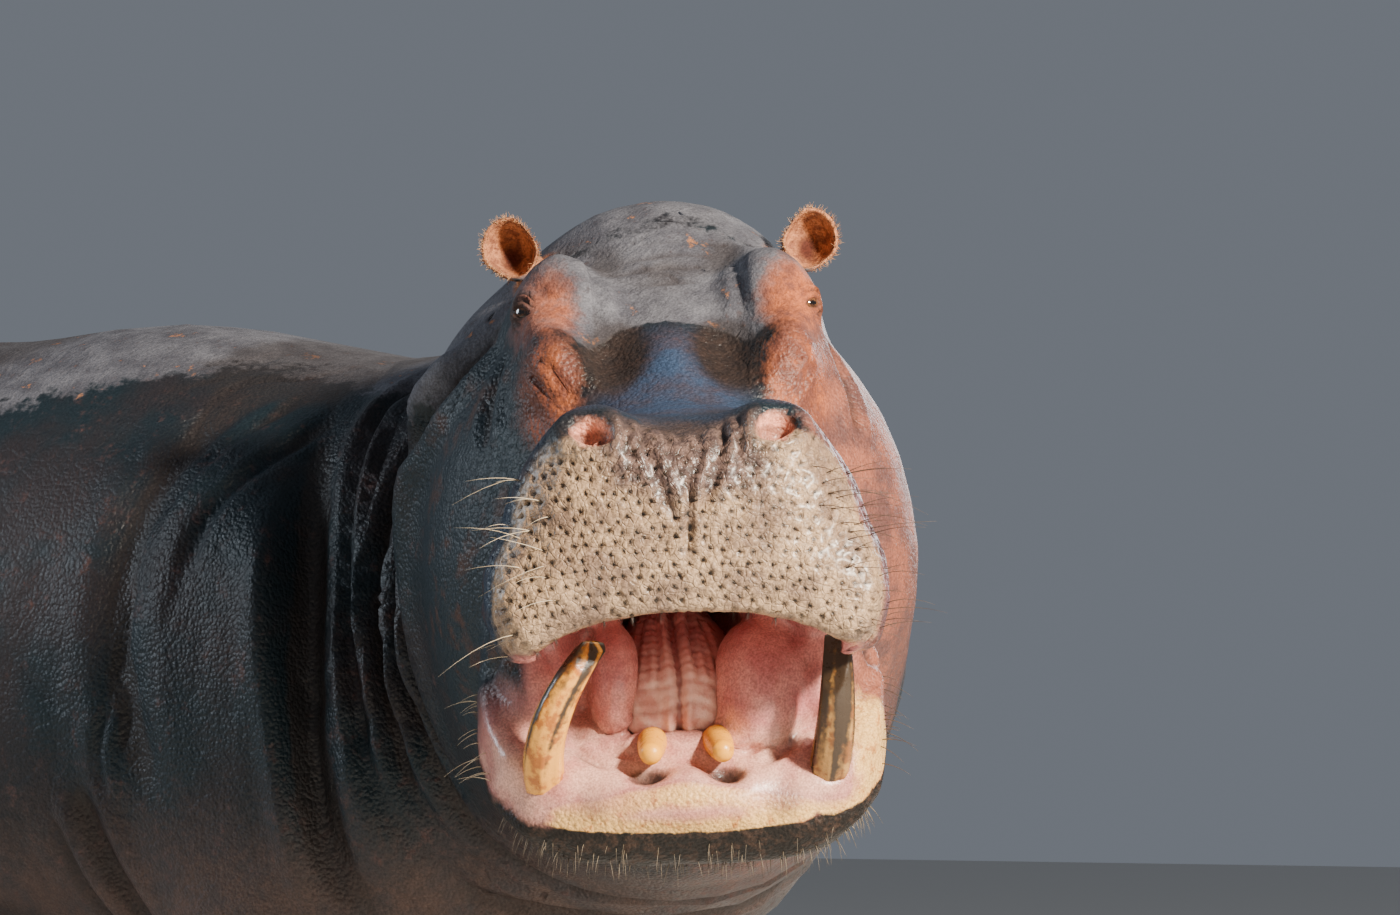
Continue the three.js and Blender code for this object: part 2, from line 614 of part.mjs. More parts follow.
// A leg's axis and its field: the foot is swung `step` forwards or back under it.
function legShape({ side, fore, step }) {
  const joints = fore ? FORELEG : HINDLEG;
  const axis = joints.map(({ x, y, z }) => V(side * x, y + step * (1 - z / 900), z));
  const bones = axis
    .slice(1)
    .map((end, i) => bone(axis[i], end, joints[i].radius, joints[i + 1].radius, 70));
  const foot = axis.at(-1);
  const toes = TOE_ANGLES.map((angle) => {
    const at = foot.clone().addScaledVector(ahead(angle), TOE_REACH);
    return mass([at.x, at.y, 42], [44, 62, 52], { turn: [0, 0, angle], blend: 26 });
  });
  const heel = mass([foot.x, foot.y + 40, 30], [118, 110, 60], { blend: 40 });
  return { axis, foot, field: blended([...bones, heel, ...toes]) };
}

// The centre of a leg's ring at height z.
function axisAt(axis, z) {
  const i = Math.max(1, axis.findIndex((p) => p.z <= z));
  const t = (axis[i - 1].z - z) / (axis[i - 1].z - axis[i].z);
  return axis[i - 1].clone().lerp(axis[i], t);
}

for (const leg of LEGS) {
  const { axis, foot, field } = legShape(leg);
  const ring = (z) => ({ centre: axisAt(axis, z), right: RIGHT, up: V(0, 1, 0) });
  const shank = wrap(field, 14, steps(ANKLE_HEIGHT + GAP, 700, 6).map(ring), 400);
  add(leg.name, less(shank, trunkCutter, neckCutter), FINISH.hide);

  const nails = TOE_ANGLES.map((angle) => {
    const out = ahead(angle);
    const from = foot.clone().setZ(NAIL_HEIGHT);
    const at = from.addScaledVector(out, reach(field, from, out, 400) - NAIL_DEPTH);
    return (grow) =>
      blob([at.x, at.y, at.z], [25 + grow, 12 + grow, 26 + grow], {
        turn: [-14, 0, angle],
        power: 2.6,
        across: 6,
        down: 4,
      });
  });
  const footRings = [ANKLE_HEIGHT, 78, 44, 14, 0].map(ring);
  const footWhole = wrap(field, 16, footRings, 400);
  const hand = leg.side > 0 ? "left" : "right";
  const end = leg.fore ? "fore" : "hind";
  add(`${end}foot_${hand}`, less(footWhole, ...nails.map((nail) => nail(GAP))), FINISH.hide);
  nails.forEach((nail, i) => add(`toenail_${end}_${hand}_${i + 1}`, nail(0), FINISH.nail));
}

// ---------------------------------------------------------------- tail
const tailCurve = new THREE.CubicBezierCurve3(
  V(0, 2040, 1240),
  V(0, 2190, 1170),
  V(0, 2190, 980),
  V(6, 2150, 800),
);
const tail = taperedTube(tailCurve, (t) => [38 - 20 * t, 34 - 22 * t], RIGHT, { segments: 8, rows: 6 });
add("tail", less(tail, trunkCutter), FINISH.hide);

// ---------------------------------------------------------------- assembly
const group = new THREE.Group();
group.name = "hippopotamus";
for (const { name, made, material, pose } of parts) {
  const mesh = new THREE.Mesh(geometryOf(made), material);
  mesh.name = name;
  if (pose) mesh.applyMatrix4(pose);
  group.add(mesh);
}
// The origin goes to the middle of the underside of the whole animal's bounding box.
const box = new THREE.Box3().setFromObject(group, true);
const middle = box.getCenter(V(0, 0, 0));
group.position.set(-middle.x, -middle.y, -box.min.z);
export default group;
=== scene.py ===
import math

import bmesh
import bpy
import numpy as np
from mathutils import Matrix, Vector, noise
from mathutils.kdtree import KDTree


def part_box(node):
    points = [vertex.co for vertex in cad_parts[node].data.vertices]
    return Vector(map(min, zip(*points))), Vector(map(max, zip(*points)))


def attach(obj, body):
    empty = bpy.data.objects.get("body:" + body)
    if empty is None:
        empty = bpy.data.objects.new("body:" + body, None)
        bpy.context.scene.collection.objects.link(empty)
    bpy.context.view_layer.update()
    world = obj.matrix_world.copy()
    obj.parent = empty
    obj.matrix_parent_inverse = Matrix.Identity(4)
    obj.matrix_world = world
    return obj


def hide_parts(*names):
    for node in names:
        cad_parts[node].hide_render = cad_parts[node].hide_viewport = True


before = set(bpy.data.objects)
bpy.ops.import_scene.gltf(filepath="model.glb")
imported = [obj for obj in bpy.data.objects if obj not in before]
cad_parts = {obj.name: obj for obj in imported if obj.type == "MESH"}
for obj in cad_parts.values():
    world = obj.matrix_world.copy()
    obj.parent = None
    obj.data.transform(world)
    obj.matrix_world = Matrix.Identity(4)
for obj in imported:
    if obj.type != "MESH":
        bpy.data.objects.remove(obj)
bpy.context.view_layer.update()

# ---------------------------------------------------------------- the hide: its blank
# A bull's hide is one bare skin, up to five centimetres thick, from the lips to the tail. The
# blank is the union of all the flesh at one even grain, and the head, the muzzle and the eyes
# get a finer grain, because that is where the modelling is finest.
NECK_TURN = math.radians(50)  # how far the head looks to the animal's right
NECK_LENGTH = 0.67
NECK_RADIUS = NECK_LENGTH / NECK_TURN  # of the bend in the neck
HEAD_ROLL = math.radians(2)
HEAD_LENGTH = 0.78
EYE_IN_HEAD = Vector((0.1837, 0.4867, 1.4822))  # the left eyeball, in the head's frame
EAR_AT = Vector((0.203, 0.66, 1.576))  # the left ear, in the head's frame
JAW_HINGE = (-0.005, 0.6, 1.22)
JAW_DROP = math.radians(40)
GRAIN = 0.009
COAT = 0.0008  # how far the blank is grown, so that solids that only touch become one

FLESH = ["trunk", "neck", "head", "lower_jaw", "tail"]
FLESH += [
    limb + hand for limb in ("foreleg_", "hindleg_", "forefoot_", "hindfoot_")
    for hand in ("left", "right")
]


def middle(node):
    low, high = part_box(node)
    return (low + high) / 2


# The head's frame: x to the animal's left, y back from the muzzle, z up. The eyes tie it to the
# solids. The jaw's frame starts at the hinge, y back along the jaw, z away from its underside.
head_turn = Matrix.Rotation(-NECK_TURN, 4, "Z") @ Matrix.Rotation(-HEAD_ROLL, 4, "Y")
between_eyes = Vector((0, EYE_IN_HEAD.y, EYE_IN_HEAD.z))
head_at = (middle("eye_left") + middle("eye_right")) / 2 - head_turn @ between_eyes
HEAD = Matrix.Translation(head_at) @ head_turn
JAW = HEAD @ Matrix.Translation(JAW_HINGE) @ Matrix.Rotation(JAW_DROP, 4, "X")
# The body's frame: on the floor under the shoulders, heading -y.
nape = HEAD @ Vector((0, HEAD_LENGTH, 1.2))
bend = Vector((math.cos(NECK_TURN) - 1, -math.sin(NECK_TURN), 0)) * NECK_RADIUS
BODY = Matrix.Translation((nape.x - bend.x, nape.y - bend.y, 0))


def seen_from(pose, points):
    """Points of the row frame, in the frame of a pose."""
    turn = np.array(pose.to_3x3())
    return (points - np.array(pose.translation)) @ turn


def along_spine(points):
    """How far back of the shoulders, how far to the left of the spine, and how high."""
    body, head = seen_from(BODY, points), seen_from(HEAD, points)
    out = body[:, 0] + NECK_RADIUS
    angle = np.arctan2(-body[:, 1], out)
    back = np.where(body[:, 1] > 0, body[:, 1], -NECK_RADIUS * angle)
    left = np.where(body[:, 1] > 0, body[:, 0], np.hypot(out, body[:, 1]) - NECK_RADIUS)
    past_nape = (angle > NECK_TURN) & (body[:, 1] < 0)
    back = np.where(past_nape, head[:, 1] - HEAD_LENGTH - NECK_LENGTH, back)
    left = np.where(past_nape, head[:, 0], left)
    return np.stack((back, left, points[:, 2]), axis=1)


def place(name, mesh, material=None):
    piece = bpy.data.objects.new(name, mesh)
    bpy.context.scene.collection.objects.link(piece)
    if material:
        mesh.materials.append(material)
    return piece


def finish_with(piece, name, kind, **values):
    """Adds a modifier and applies it."""
    modifier = piece.modifiers.new(name, kind)
    for key, value in values.items():
        setattr(modifier, key, value)
    with bpy.context.temp_override(object=piece, active_object=piece):
        bpy.ops.object.modifier_apply(modifier=name)


def merged_solid(node, grow=0.0):
    """A CAD node's loose triangles as one closed bmesh."""
    solid = bmesh.new()
    solid.from_mesh(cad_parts[node].data)
    bmesh.ops.remove_doubles(solid, verts=solid.verts, dist=1e-5)
    solid.normal_update()
    for vert in solid.verts:
        vert.co += vert.normal * grow
    return solid


def places_of(mesh):
    places = np.empty(len(mesh.vertices) * 3, np.float32)
    mesh.vertices.foreach_get("co", places)
    return places.reshape(-1, 3).astype(np.float64)


def normals_of(mesh):
    normals = np.empty(len(mesh.vertices) * 3, np.float32)
    mesh.vertex_normals.foreach_get("vector", normals)
    return normals.reshape(-1, 3).astype(np.float64)


def move_to(mesh, places):
    mesh.vertices.foreach_set("co", places.astype(np.float32).ravel())
    mesh.update()


def ramp(values, low, high):
    """0 below low, 1 above high, and an easy slope between."""
    t = np.clip((values - low) / (high - low), 0, 1)
    return t * t * (3 - 2 * t)


def blank_hide():
    union = bmesh.new()
    for node in FLESH + ["eye_left", "eye_right"]:
        solid = merged_solid(node, COAT)
        mesh = bpy.data.meshes.new(node + "_blank")
        solid.to_mesh(mesh)
        union.from_mesh(mesh)
        bpy.data.meshes.remove(mesh)
    mesh = bpy.data.meshes.new("hide")
    union.to_mesh(mesh)
    hide = place("hide", mesh)
    finish_with(hide, "grain", "REMESH", mode="VOXEL", voxel_size=GRAIN)
    return hide


def ease(piece, weights, rounds):
    """Smooths the facets away, as much as the weights say."""
    group = piece.vertex_groups.new(name="ease")
    steps = np.round(np.clip(weights, 0, 1) * 10).astype(int)
    for step in range(1, 11):
        chosen = np.flatnonzero(steps == step)
        if len(chosen):
            group.add(chosen.tolist(), step / 10, "REPLACE")
    finish_with(piece, "even", "SMOOTH", factor=0.5, iterations=rounds, vertex_group="ease")
    piece.vertex_groups.remove(piece.vertex_groups["ease"])


def divide(mesh, wanted):
    """Halves the edges whose two ends are both wanted."""
    work = bmesh.new()
    work.from_mesh(mesh)
    edges = [edge for edge in work.edges if wanted[edge.verts[0].index] and wanted[edge.verts[1].index]]
    bmesh.ops.subdivide_edges(work, edges=edges, cuts=1, use_grid_fill=True)
    bmesh.ops.triangulate(work, faces=[face for face in work.faces if len(face.verts) > 4])
    work.to_mesh(mesh)
    work.free()


hide = blank_hide()
skin = hide.data
spine = along_spine(places_of(skin))
on_head = ramp(-spine[:, 0], 0.62, 0.78)
low_leg = ramp(0.5 - spine[:, 2], 0, 0.15)
on_tail = ramp(spine[:, 0], 2.0, 2.03)
ease(hide, (1 - on_head) * (1 - 0.75 * low_leg) * (1 - on_tail), 260)
ease(hide, on_head * 0 + 1, 8)
divide(skin, along_spine(places_of(skin))[:, 0] < -0.84)
ease(hide, ramp(-along_spine(places_of(skin))[:, 0], 0.8, 0.86), 10)


def near_face(points):
    """The muzzle's pebbled front, the nostrils and the eyes, which want the finest grain."""
    head = seen_from(HEAD, points)
    beside = np.stack((np.abs(head[:, 0]), head[:, 1], head[:, 2]), axis=1)
    front = (head[:, 1] < 0.1) & (head[:, 2] > 1.0)
    eye = np.linalg.norm(beside - EYE_IN_HEAD, axis=1) < 0.06
    return front | eye, np.linalg.norm(beside - EYE_IN_HEAD, axis=1) < 0.04


divide(skin, near_face(places_of(skin))[0])
divide(skin, near_face(places_of(skin))[1])

# ---------------------------------------------------------------- the hide: folds and relief
# The blank is worked like clay. Every stroke lifts or sinks the skin along its own normal:
# mounds and hollows, furrows with a soft roll on either side, and follicle pits on the muzzle.
EYEBALL = 0.024
LID = 0.0045


def swell(lift, at, centre, reach, height, only=True):
    """A soft mound, or a hollow where the height is below zero."""
    away = (((at - np.array(centre)) / np.array(reach)) ** 2).sum(axis=1)
    near = (away < 9) & only
    lift[near] += height * np.exp(-away[near])


def smooth_path(points, steps=10):
    """More points along a curve that goes through the given ones."""
    knots = np.array([points[0]] + list(points) + [points[-1]], dtype=float)
    path = []
    for a, b, c, d in zip(knots, knots[1:], knots[2:], knots[3:]):
        for t in np.linspace(0, 1, steps, endpoint=False):
            path.append(
                0.5
                * (
                    2 * b + (c - a) * t + (2 * a - 5 * b + 4 * c - d) * t**2
                    + (3 * b - a - 3 * c + d) * t**3
                )
            )
    return np.array(path + [knots[-1]])


def furrow(lift, at, points, depth, width, lips=0.5, only=True, ends=0.25, snap=False):
    """A groove that fades at its ends, with a soft roll on either side of it. Its path may be
    laid on the skin, each of its points going to the nearest spot there."""
    points = np.array(points, dtype=float)
    if snap:
        points = np.array([at[np.argmin(((at - point) ** 2).sum(axis=1))] for point in points])
    path = smooth_path(points)
    margin = width * 4.5
    near = only & (at > path.min(axis=0) - margin).all(axis=1) & (at < path.max(axis=0) + margin).all(axis=1)
    near = np.flatnonzero(near)
    if not len(near):
        return
    spots = at[near]
    best = np.full(len(near), 1e9)
    along = np.zeros(len(near))
    for k, (start, end) in enumerate(zip(path, path[1:])):
        run = end - start
        t = np.clip((spots - start) @ run / max(run @ run, 1e-12), 0, 1)
        gap = np.linalg.norm(spots - start - t[:, None] * run, axis=1)
        closer = gap < best
        best[closer] = gap[closer]
        along[closer] = (k + t[closer]) / (len(path) - 1)
    fade = ramp(np.minimum(along, 1 - along), -0.02, ends)
    across = best / width
    lift[near] += depth * fade * (lips * np.exp(-(((across - 2) / 1.1) ** 2)) - np.exp(-(across**2)))


places = places_of(skin)
normals = normals_of(skin)
head = seen_from(HEAD, places)
head_normals = normals @ np.array(HEAD.to_3x3())
jaw = seen_from(JAW, places)
spine = along_spine(places)
lift = np.zeros(len(places))
on_head = spine[:, 0] < -0.7
outside_mouth = ~((head[:, 2] < 1.12) & (np.abs(head[:, 0]) < 0.2) & (head[:, 1] > 0.03))

# The brows, the mounds under the eyes, the hollows beside the bridge and the nostril mounds.
for hand in (-1, 1):
    swell(lift, head, (hand * 0.146, 0.495, 1.515), (0.05, 0.07, 0.045), 0.024, on_head)
    swell(lift, head, (hand * 0.16, 0.44, 1.45), (0.042, 0.05, 0.045), 0.01, on_head)
    swell(lift, head, (hand * 0.158, 0.385, 1.4), (0.036, 0.045, 0.05), 0.013, on_head)
    swell(lift, head, (hand * 0.08, 0.395, 1.42), (0.036, 0.07, 0.055), -0.02, on_head)
    swell(lift, head, (hand * 0.085, 0.55, 1.56), (0.03, 0.06, 0.05), -0.008, on_head)
    swell(lift, head, (hand * 0.118, 0.05, 1.325), (0.05, 0.06, 0.04), 0.012, on_head)
    swell(lift, head, (hand * 0.19, 0.2, 1.3), (0.05, 0.12, 0.06), -0.006, on_head)
swell(lift, head, (0, 0.36, 1.40), (0.035, 0.12, 0.06), 0.006, on_head)
swell(lift, head, (0, 0.06, 1.32), (0.06, 0.05, 0.04), -0.007, on_head)
swell(lift, head, (0, 0.53, 1.54), (0.05, 0.06, 0.04), -0.006, on_head)

# The philtrum and the folds between the nostrils.
front = head[:, [0, 2]]
on_front = (head[:, 1] < 0.14) & (head_normals[:, 1] < 0.35) & (head[:, 2] > 1.0) & outside_mouth
for hand in (-1, 1):
    fold = [(0.052 * hand, 1.315), (0.05 * hand, 1.285), (0.03 * hand, 1.225), (0.008 * hand, 1.18)]
    furrow(lift, front, fold, 0.0052, 0.0065, 0.9, on_front)
    fold = [(0.075 * hand, 1.325), (0.075 * hand, 1.29), (0.06 * hand, 1.255)]
    furrow(lift, front, fold, 0.004, 0.006, 0.9, on_front)
    fold = [(0.022 * hand, 1.31), (0.02 * hand, 1.28), (0.012 * hand, 1.245)]
    furrow(lift, front, fold, 0.003, 0.004, 0.7, on_front)
    fold = [(0.035 * hand, 1.3), (0.036 * hand, 1.27), (0.03 * hand, 1.25)]
    furrow(lift, front, fold, 0.0025, 0.003, 0.7, on_front)
furrow(lift, front, [(0.004, 1.255), (0.003, 1.2), (0.0, 1.16), (0, 1.13)], 0.006, 0.0055, 0.7, on_front)

# The nostrils are almond slots whose outer ends stand higher.
NOSTRIL_LONG, NOSTRIL_SHORT = 0.0275, 0.0205
for hand in (-1, 1):
    out = Vector((hand * 0.86, 0.12, 0.5)).normalized()
    ahead_up = Vector((hand * 0.05, -0.75, 0.6)).normalized()
    up = out.cross(ahead_up).normalized()
    rest = head - np.array((hand * 0.1175, 0.031, 1.305))
    a, b = rest @ np.array(out), rest @ np.array(up)
    depth = np.abs(rest @ np.array(ahead_up))
    ring = np.sqrt((a / NOSTRIL_LONG) ** 2 + (b / NOSTRIL_SHORT) ** 2)
    near = depth < 0.05
    lift[near] += (0.007 * np.exp(-(((ring - 1.45) / 0.4) ** 2)))[near]
    lift[near] -= (0.026 * (1 - ramp(ring, 0.5, 1.1)))[near]

# Wrinkles round the orbits, down the mounds under the eyes and over the crown.
for hand in (-1, 1):
    for k in range(7):
        x = 0.125 + 0.012 * k
        lean = 0.006 * ((k * 5) % 3 - 1)
        path = [
            (hand * (x + 0.01), 0.42, 1.425 + lean), (hand * (x + lean), 0.385, 1.4),
            (hand * (x - 0.01), 0.34, 1.36 - lean),
        ]
        furrow(lift, head, path, 0.002 + 0.0006 * (k % 3), 0.0036, 0.9, on_head, snap=True)
    furrow(
        lift, head, [(hand * 0.1, 0.52, 1.555), (hand * 0.09, 0.46, 1.53), (hand * 0.098, 0.42, 1.48)],
        0.006, 0.01, 0.5, on_head, snap=True,
    )
    furrow(
        lift, head,
        [(hand * 0.205, 0.56, 1.53), (hand * 0.18, 0.62, 1.555), (hand * 0.14, 0.64, 1.585)], 0.007,
        0.01, 0.6, on_head, snap=True,
    )
    # The cheek bulges back of the mouth's corner, and a crease runs under it.
    furrow(
        lift, head, [(hand * 0.225, 0.5, 1.45), (hand * 0.25, 0.47, 1.38), (hand * 0.262, 0.43, 1.3)],
        0.007, 0.012, 0.6, on_head, snap=True,
    )
    furrow(
        lift, head, [(hand * 0.215, 0.36, 1.36), (hand * 0.225, 0.29, 1.3), (hand * 0.235, 0.22, 1.22)],
        0.006, 0.012, 0.5, on_head, snap=True,
    )
    furrow(
        lift, head,
        [
            (hand * 0.245, 0.14, 1.12), (hand * 0.268, 0.2, 1.08), (hand * 0.285, 0.28, 1.02),
            (hand * 0.29, 0.36, 0.96),
        ],
        0.008, 0.012, 0.6, on_head, snap=True,
    )
    furrow(
        lift, head, [(hand * 0.26, 0.2, 1.13), (hand * 0.285, 0.28, 1.09), (hand * 0.3, 0.36, 1.04)],
        0.005, 0.008, 0.6, on_head, snap=True,
    )
for k in range(7):
    z, y = 1.64 - 0.012 * k, 0.66 - 0.03 * k
    slide = 0.03 * math.sin(k * 2.3)
    path = [
        (slide - 0.07, y + 0.01, z - 0.02), (slide - 0.02, y - 0.004, z - 0.002), (slide + 0.03, y, z),
        (slide + 0.08, y + 0.012, z - 0.02),
    ]
    furrow(lift, head, path, 0.0016, 0.0048, 0.8, on_head, snap=True)
# Old scratches on the brow.
scars = np.random.default_rng(5)
for k in range(16):
    x, y = scars.uniform(-0.13, 0.13), scars.uniform(0.45, 0.62)
    dx, dy = scars.uniform(-0.014, 0.014), scars.uniform(-0.012, 0.012)
    furrow(
        lift, head, [(x - dx, y - dy, 1.56), (x, y, 1.56), (x + dx, y + dy, 1.56)], 0.004, 0.0028, 0.3,
        on_head, snap=True,
    )

# The lower lip: a hump at its middle, soft dents either side, and collars round the tusks.
on_jaw = on_head & (jaw[:, 2] < 0.12) & (jaw[:, 1] < -0.2)
swell(lift, jaw, (0, -0.585, -0.015), (0.07, 0.05, 0.035), 0.016, on_jaw)
for hand in (-1, 1):
    swell(lift, jaw, (hand * 0.125, -0.6, -0.02), (0.04, 0.05, 0.03), -0.006, on_jaw)
    swell(lift, jaw, (hand * 0.196, -0.538, -0.02), (0.034, 0.034, 0.03), 0.012, on_jaw)
    swell(lift, jaw, (hand * 0.052, -0.495, -0.02), (0.032, 0.03, 0.03), 0.008, on_jaw)
    swell(lift, jaw, (hand * 0.049, -0.552, -0.018), (0.024, 0.017, 0.024), -0.03, on_jaw)
    # The gum frills round the tongue's end, and the cheek's lining is drawn into soft folds.
    swell(lift, jaw, (hand * 0.088, -0.45, 0.0), (0.034, 0.03, 0.03), 0.012, on_jaw)
    frill = [
        (hand * 0.06, -0.505, -0.02), (hand * 0.09, -0.498, -0.02), (hand * 0.125, -0.468, -0.01),
        (hand * 0.145, -0.4, 0.02),
    ]
    furrow(lift, jaw, frill, 0.005, 0.008, 0.7, on_jaw, snap=True)
    for k in range(4):
        inner = (hand * (0.06 + 0.022 * k), -0.44 + 0.005 * k, 0.0)
        outer = (hand * (0.06 + 0.028 * k), -0.5 + 0.012 * k, -0.02)
        furrow(lift, jaw, [inner, outer], 0.004, 0.0055, 0.7, on_jaw, snap=True)
    for k in range(5):
        low_end = (hand * 0.165, -0.48 + 0.045 * k, -0.01)
        top = (hand * 0.185, -0.42 + 0.05 * k, 0.12 + 0.01 * k)
        furrow(
            lift, jaw, [low_end, top], 0.004, 0.0065, 0.7, on_head & (np.abs(jaw[:, 0]) < 0.22),
            snap=True,
        )
    furrow(
        lift, jaw,
        [(hand * 0.1, -0.54, -0.025), (hand * 0.14, -0.5, -0.025), (hand * 0.15, -0.42, -0.02)], 0.006,
        0.008, 0.6, on_jaw, snap=True,
    )

# The folds of the neck and the shoulder. They are deep on the animal's right, inside the bend.
side_on = spine[:, [0, 2]]
right = spine[:, 1] < -0.05
left = spine[:, 1] > 0.05
BEHIND_EAR = EAR_AT.y - HEAD_LENGTH - NECK_LENGTH  # where along the spine the ears are
CHEEK_FOLD = [
    # how far behind the ears, and how high: down behind the ear and round the cheek
    (-0.04, 1.5), (-0.03, 1.4), (0.04, 1.33), (0.09, 1.29), (0.14, 1.15), (0.14, 0.96), (0.17, 0.78),
]
FAN = [
    # how high, how far back the first of the three folds is there, and the gap to the next one
    (1.46, -0.6, 0.2),
    (1.37, -0.51, 0.19),
    (1.24, -0.48, 0.135),
    (1.1, -0.52, 0.1),
    (0.96, -0.58, 0.08),
    (0.73, -0.6, 0.055),
]


def fan_fold(number):
    """One of the folds that fan out from the throat to the nape."""
    return [(back + number * gap, high) for high, back, gap in FAN]


def swept_back(foot, top, bow):
    """A path from the top down to the foot, leaning further back the higher it is."""
    rises = (1, 0.75, 0.5, 0.25, 0)
    run, climb = top[0] - foot[0], top[1] - foot[1]
    return [(foot[0] + run * rise**bow, foot[1] + climb * rise) for rise in rises]


FOLDS = [
    # depth, width and path
    (0.042, 0.024, [(BEHIND_EAR + back, high) for back, high in CHEEK_FOLD]),
    (0.03, 0.02, fan_fold(0)),
    (0.022, 0.019, fan_fold(1)),
    (0.015, 0.016, fan_fold(2)),
    (0.034, 0.05, swept_back((-0.33, 0.65), (0.04, 1.36), 2.2)),
    (0.009, 0.013, [(0.0, 1.36), (0.04, 1.3), (0.09, 1.21), (0.1, 1.12)]),
    (0.007, 0.012, [(0.07, 1.4), (0.13, 1.31), (0.19, 1.2)]),
    (0.005, 0.007, [(0.195, 1.13), (0.2, 1.05), (0.21, 0.99)]),
    (0.005, 0.007, [(0.19, 0.975), (0.19, 0.93), (0.2, 0.88)]),
    (0.006, 0.008, [(0.22, 0.95), (0.235, 0.88), (0.225, 0.8)]),
    (0.005, 0.008, [(0.38, 1.01), (0.34, 0.97), (0.29, 0.94)]),
]
for depth, width, points in FOLDS:
    furrow(lift, side_on, points, depth, width, 0.55, right)
    if depth > 0.009:
        moved = [(back + 0.04, high - 0.03) for back, high in points[1:]]
        furrow(lift, side_on, moved, depth * 0.3, width * 1.1, 0.5, left)
    if 0.01 < depth < 0.034:  # fine creases run beside the deep ones
        for shift in (-0.052, 0.046):
            beside = [(back + shift + 0.01 * math.sin(9 * high), high) for back, high in points[1:-1]]
            furrow(lift, side_on, beside, 0.006, 0.008, 0.6, right)
swell(lift, spine, (-0.07, -0.46, 1.05), (0.11, 0.15, 0.2), 0.02, right)
swell(lift, side_on, (-0.72, 1.22), (0.055, 0.2), 0.026, right)
swell(lift, side_on, (-0.53, 1.15), (0.035, 0.22), 0.012, right)
# The line of the back: a dip behind the neck, a rise over the ribs and a dip at the loin.
for back, reach, height in ((0.13, 0.14, -0.022), (0.47, 0.16, 0.012), (0.82, 0.2, -0.018)):
    swell(lift, spine, (back, -0.1, 1.5), (reach, 0.28, 0.14), height)

# The trunk: shoulder blades, ribs, hips and thighs under the skin, with creases at the limbs.
LUMPS = [
    # how far back, half way out, how high; reach; height
    ((0.02, 0.44, 1.15), (0.15, 0.16, 0.22), 0.016),
    ((0.78, 0.5, 1.02), (0.36, 0.2, 0.26), 0.014),
    ((1.2, 0.36, 1.27), (0.13, 0.16, 0.11), -0.02),
    ((1.42, 0.27, 1.37), (0.09, 0.12, 0.09), 0.018),
    ((1.64, 0.42, 0.95), (0.2, 0.16, 0.26), 0.016),
    ((0.3, 0.3, 0.72), (0.09, 0.2, 0.1), -0.014),
]
for hand in (-1, 1):
    for (back, out, high), reach, height in LUMPS:
        swell(lift, spine, (back, hand * out, high), reach, height)
BODY_CREASES = [
    (0.014, 0.032, [(0.15, 1.4), (0.21, 1.22), (0.2, 1.0), (0.14, 0.8)]),
    (0.018, 0.028, [(1.26, 1.18), (1.33, 0.98), (1.37, 0.8), (1.46, 0.66)]),
    (0.006, 0.01, [(1.42, 1.1), (1.44, 0.92), (1.5, 0.78)]),
    (0.012, 0.03, [(0.36, 0.66), (0.8, 0.58), (1.22, 0.66)]),
    (0.016, 0.018, [(0.28, 0.84), (0.25, 0.72), (0.2, 0.62)]),
    (0.007, 0.01, [(0.33, 0.8), (0.31, 0.7), (0.27, 0.62)]),
    (0.006, 0.012, [(1.78, 1.2), (1.86, 1.05), (1.84, 0.88)]),
]
for depth, width, points in BODY_CREASES:
    furrow(lift, side_on, points, depth, width, 0.5, right & (spine[:, 0] > -0.1))
    moved = [(back + 0.02 * math.sin(7 * high), high - 0.01) for back, high in points]
    furrow(lift, side_on, moved, depth, width, 0.5, left & (spine[:, 0] > -0.1))
# Fine broken creases all over the trunk, mostly upright, where the thick hide gives.
trunk = np.flatnonzero(spine[:, 0] > -0.62)
for stretch, width, depth in (((7.0, 5.0, 2.2), 0.07, 0.0055), ((16.0, 11.0, 6.0), 0.1, 0.0028)):
    for k in trunk:
        spot = Vector(spine[k] * stretch)
        line = noise.noise(spot) / width
        if abs(line) < 2.2:
            broken = max(0.0, noise.noise(spot * 0.45 + Vector((7.1, 3.3, 1.7))) + 0.12)
            lift[k] -= depth * min(1, 2.5 * broken) * math.exp(-line * line)
# Rolls of skin under the throat and the chest.
from_below = (spine[:, 2] < 0.9) & (spine[:, 0] < 0.1) & (normals[:, 2] < 0.1)
for back, depth in ((-0.62, 0.016), (-0.5, 0.012), (-0.37, 0.016), (-0.24, 0.012), (-0.1, 0.014)):
    path = [
        (back + 0.05, -0.34), (back, -0.16), (back - 0.012, 0.02), (back + 0.01, 0.18),
        (back + 0.05, 0.36),
    ]
    furrow(lift, spine[:, :2], path, depth, 0.018, 0.6, from_below)

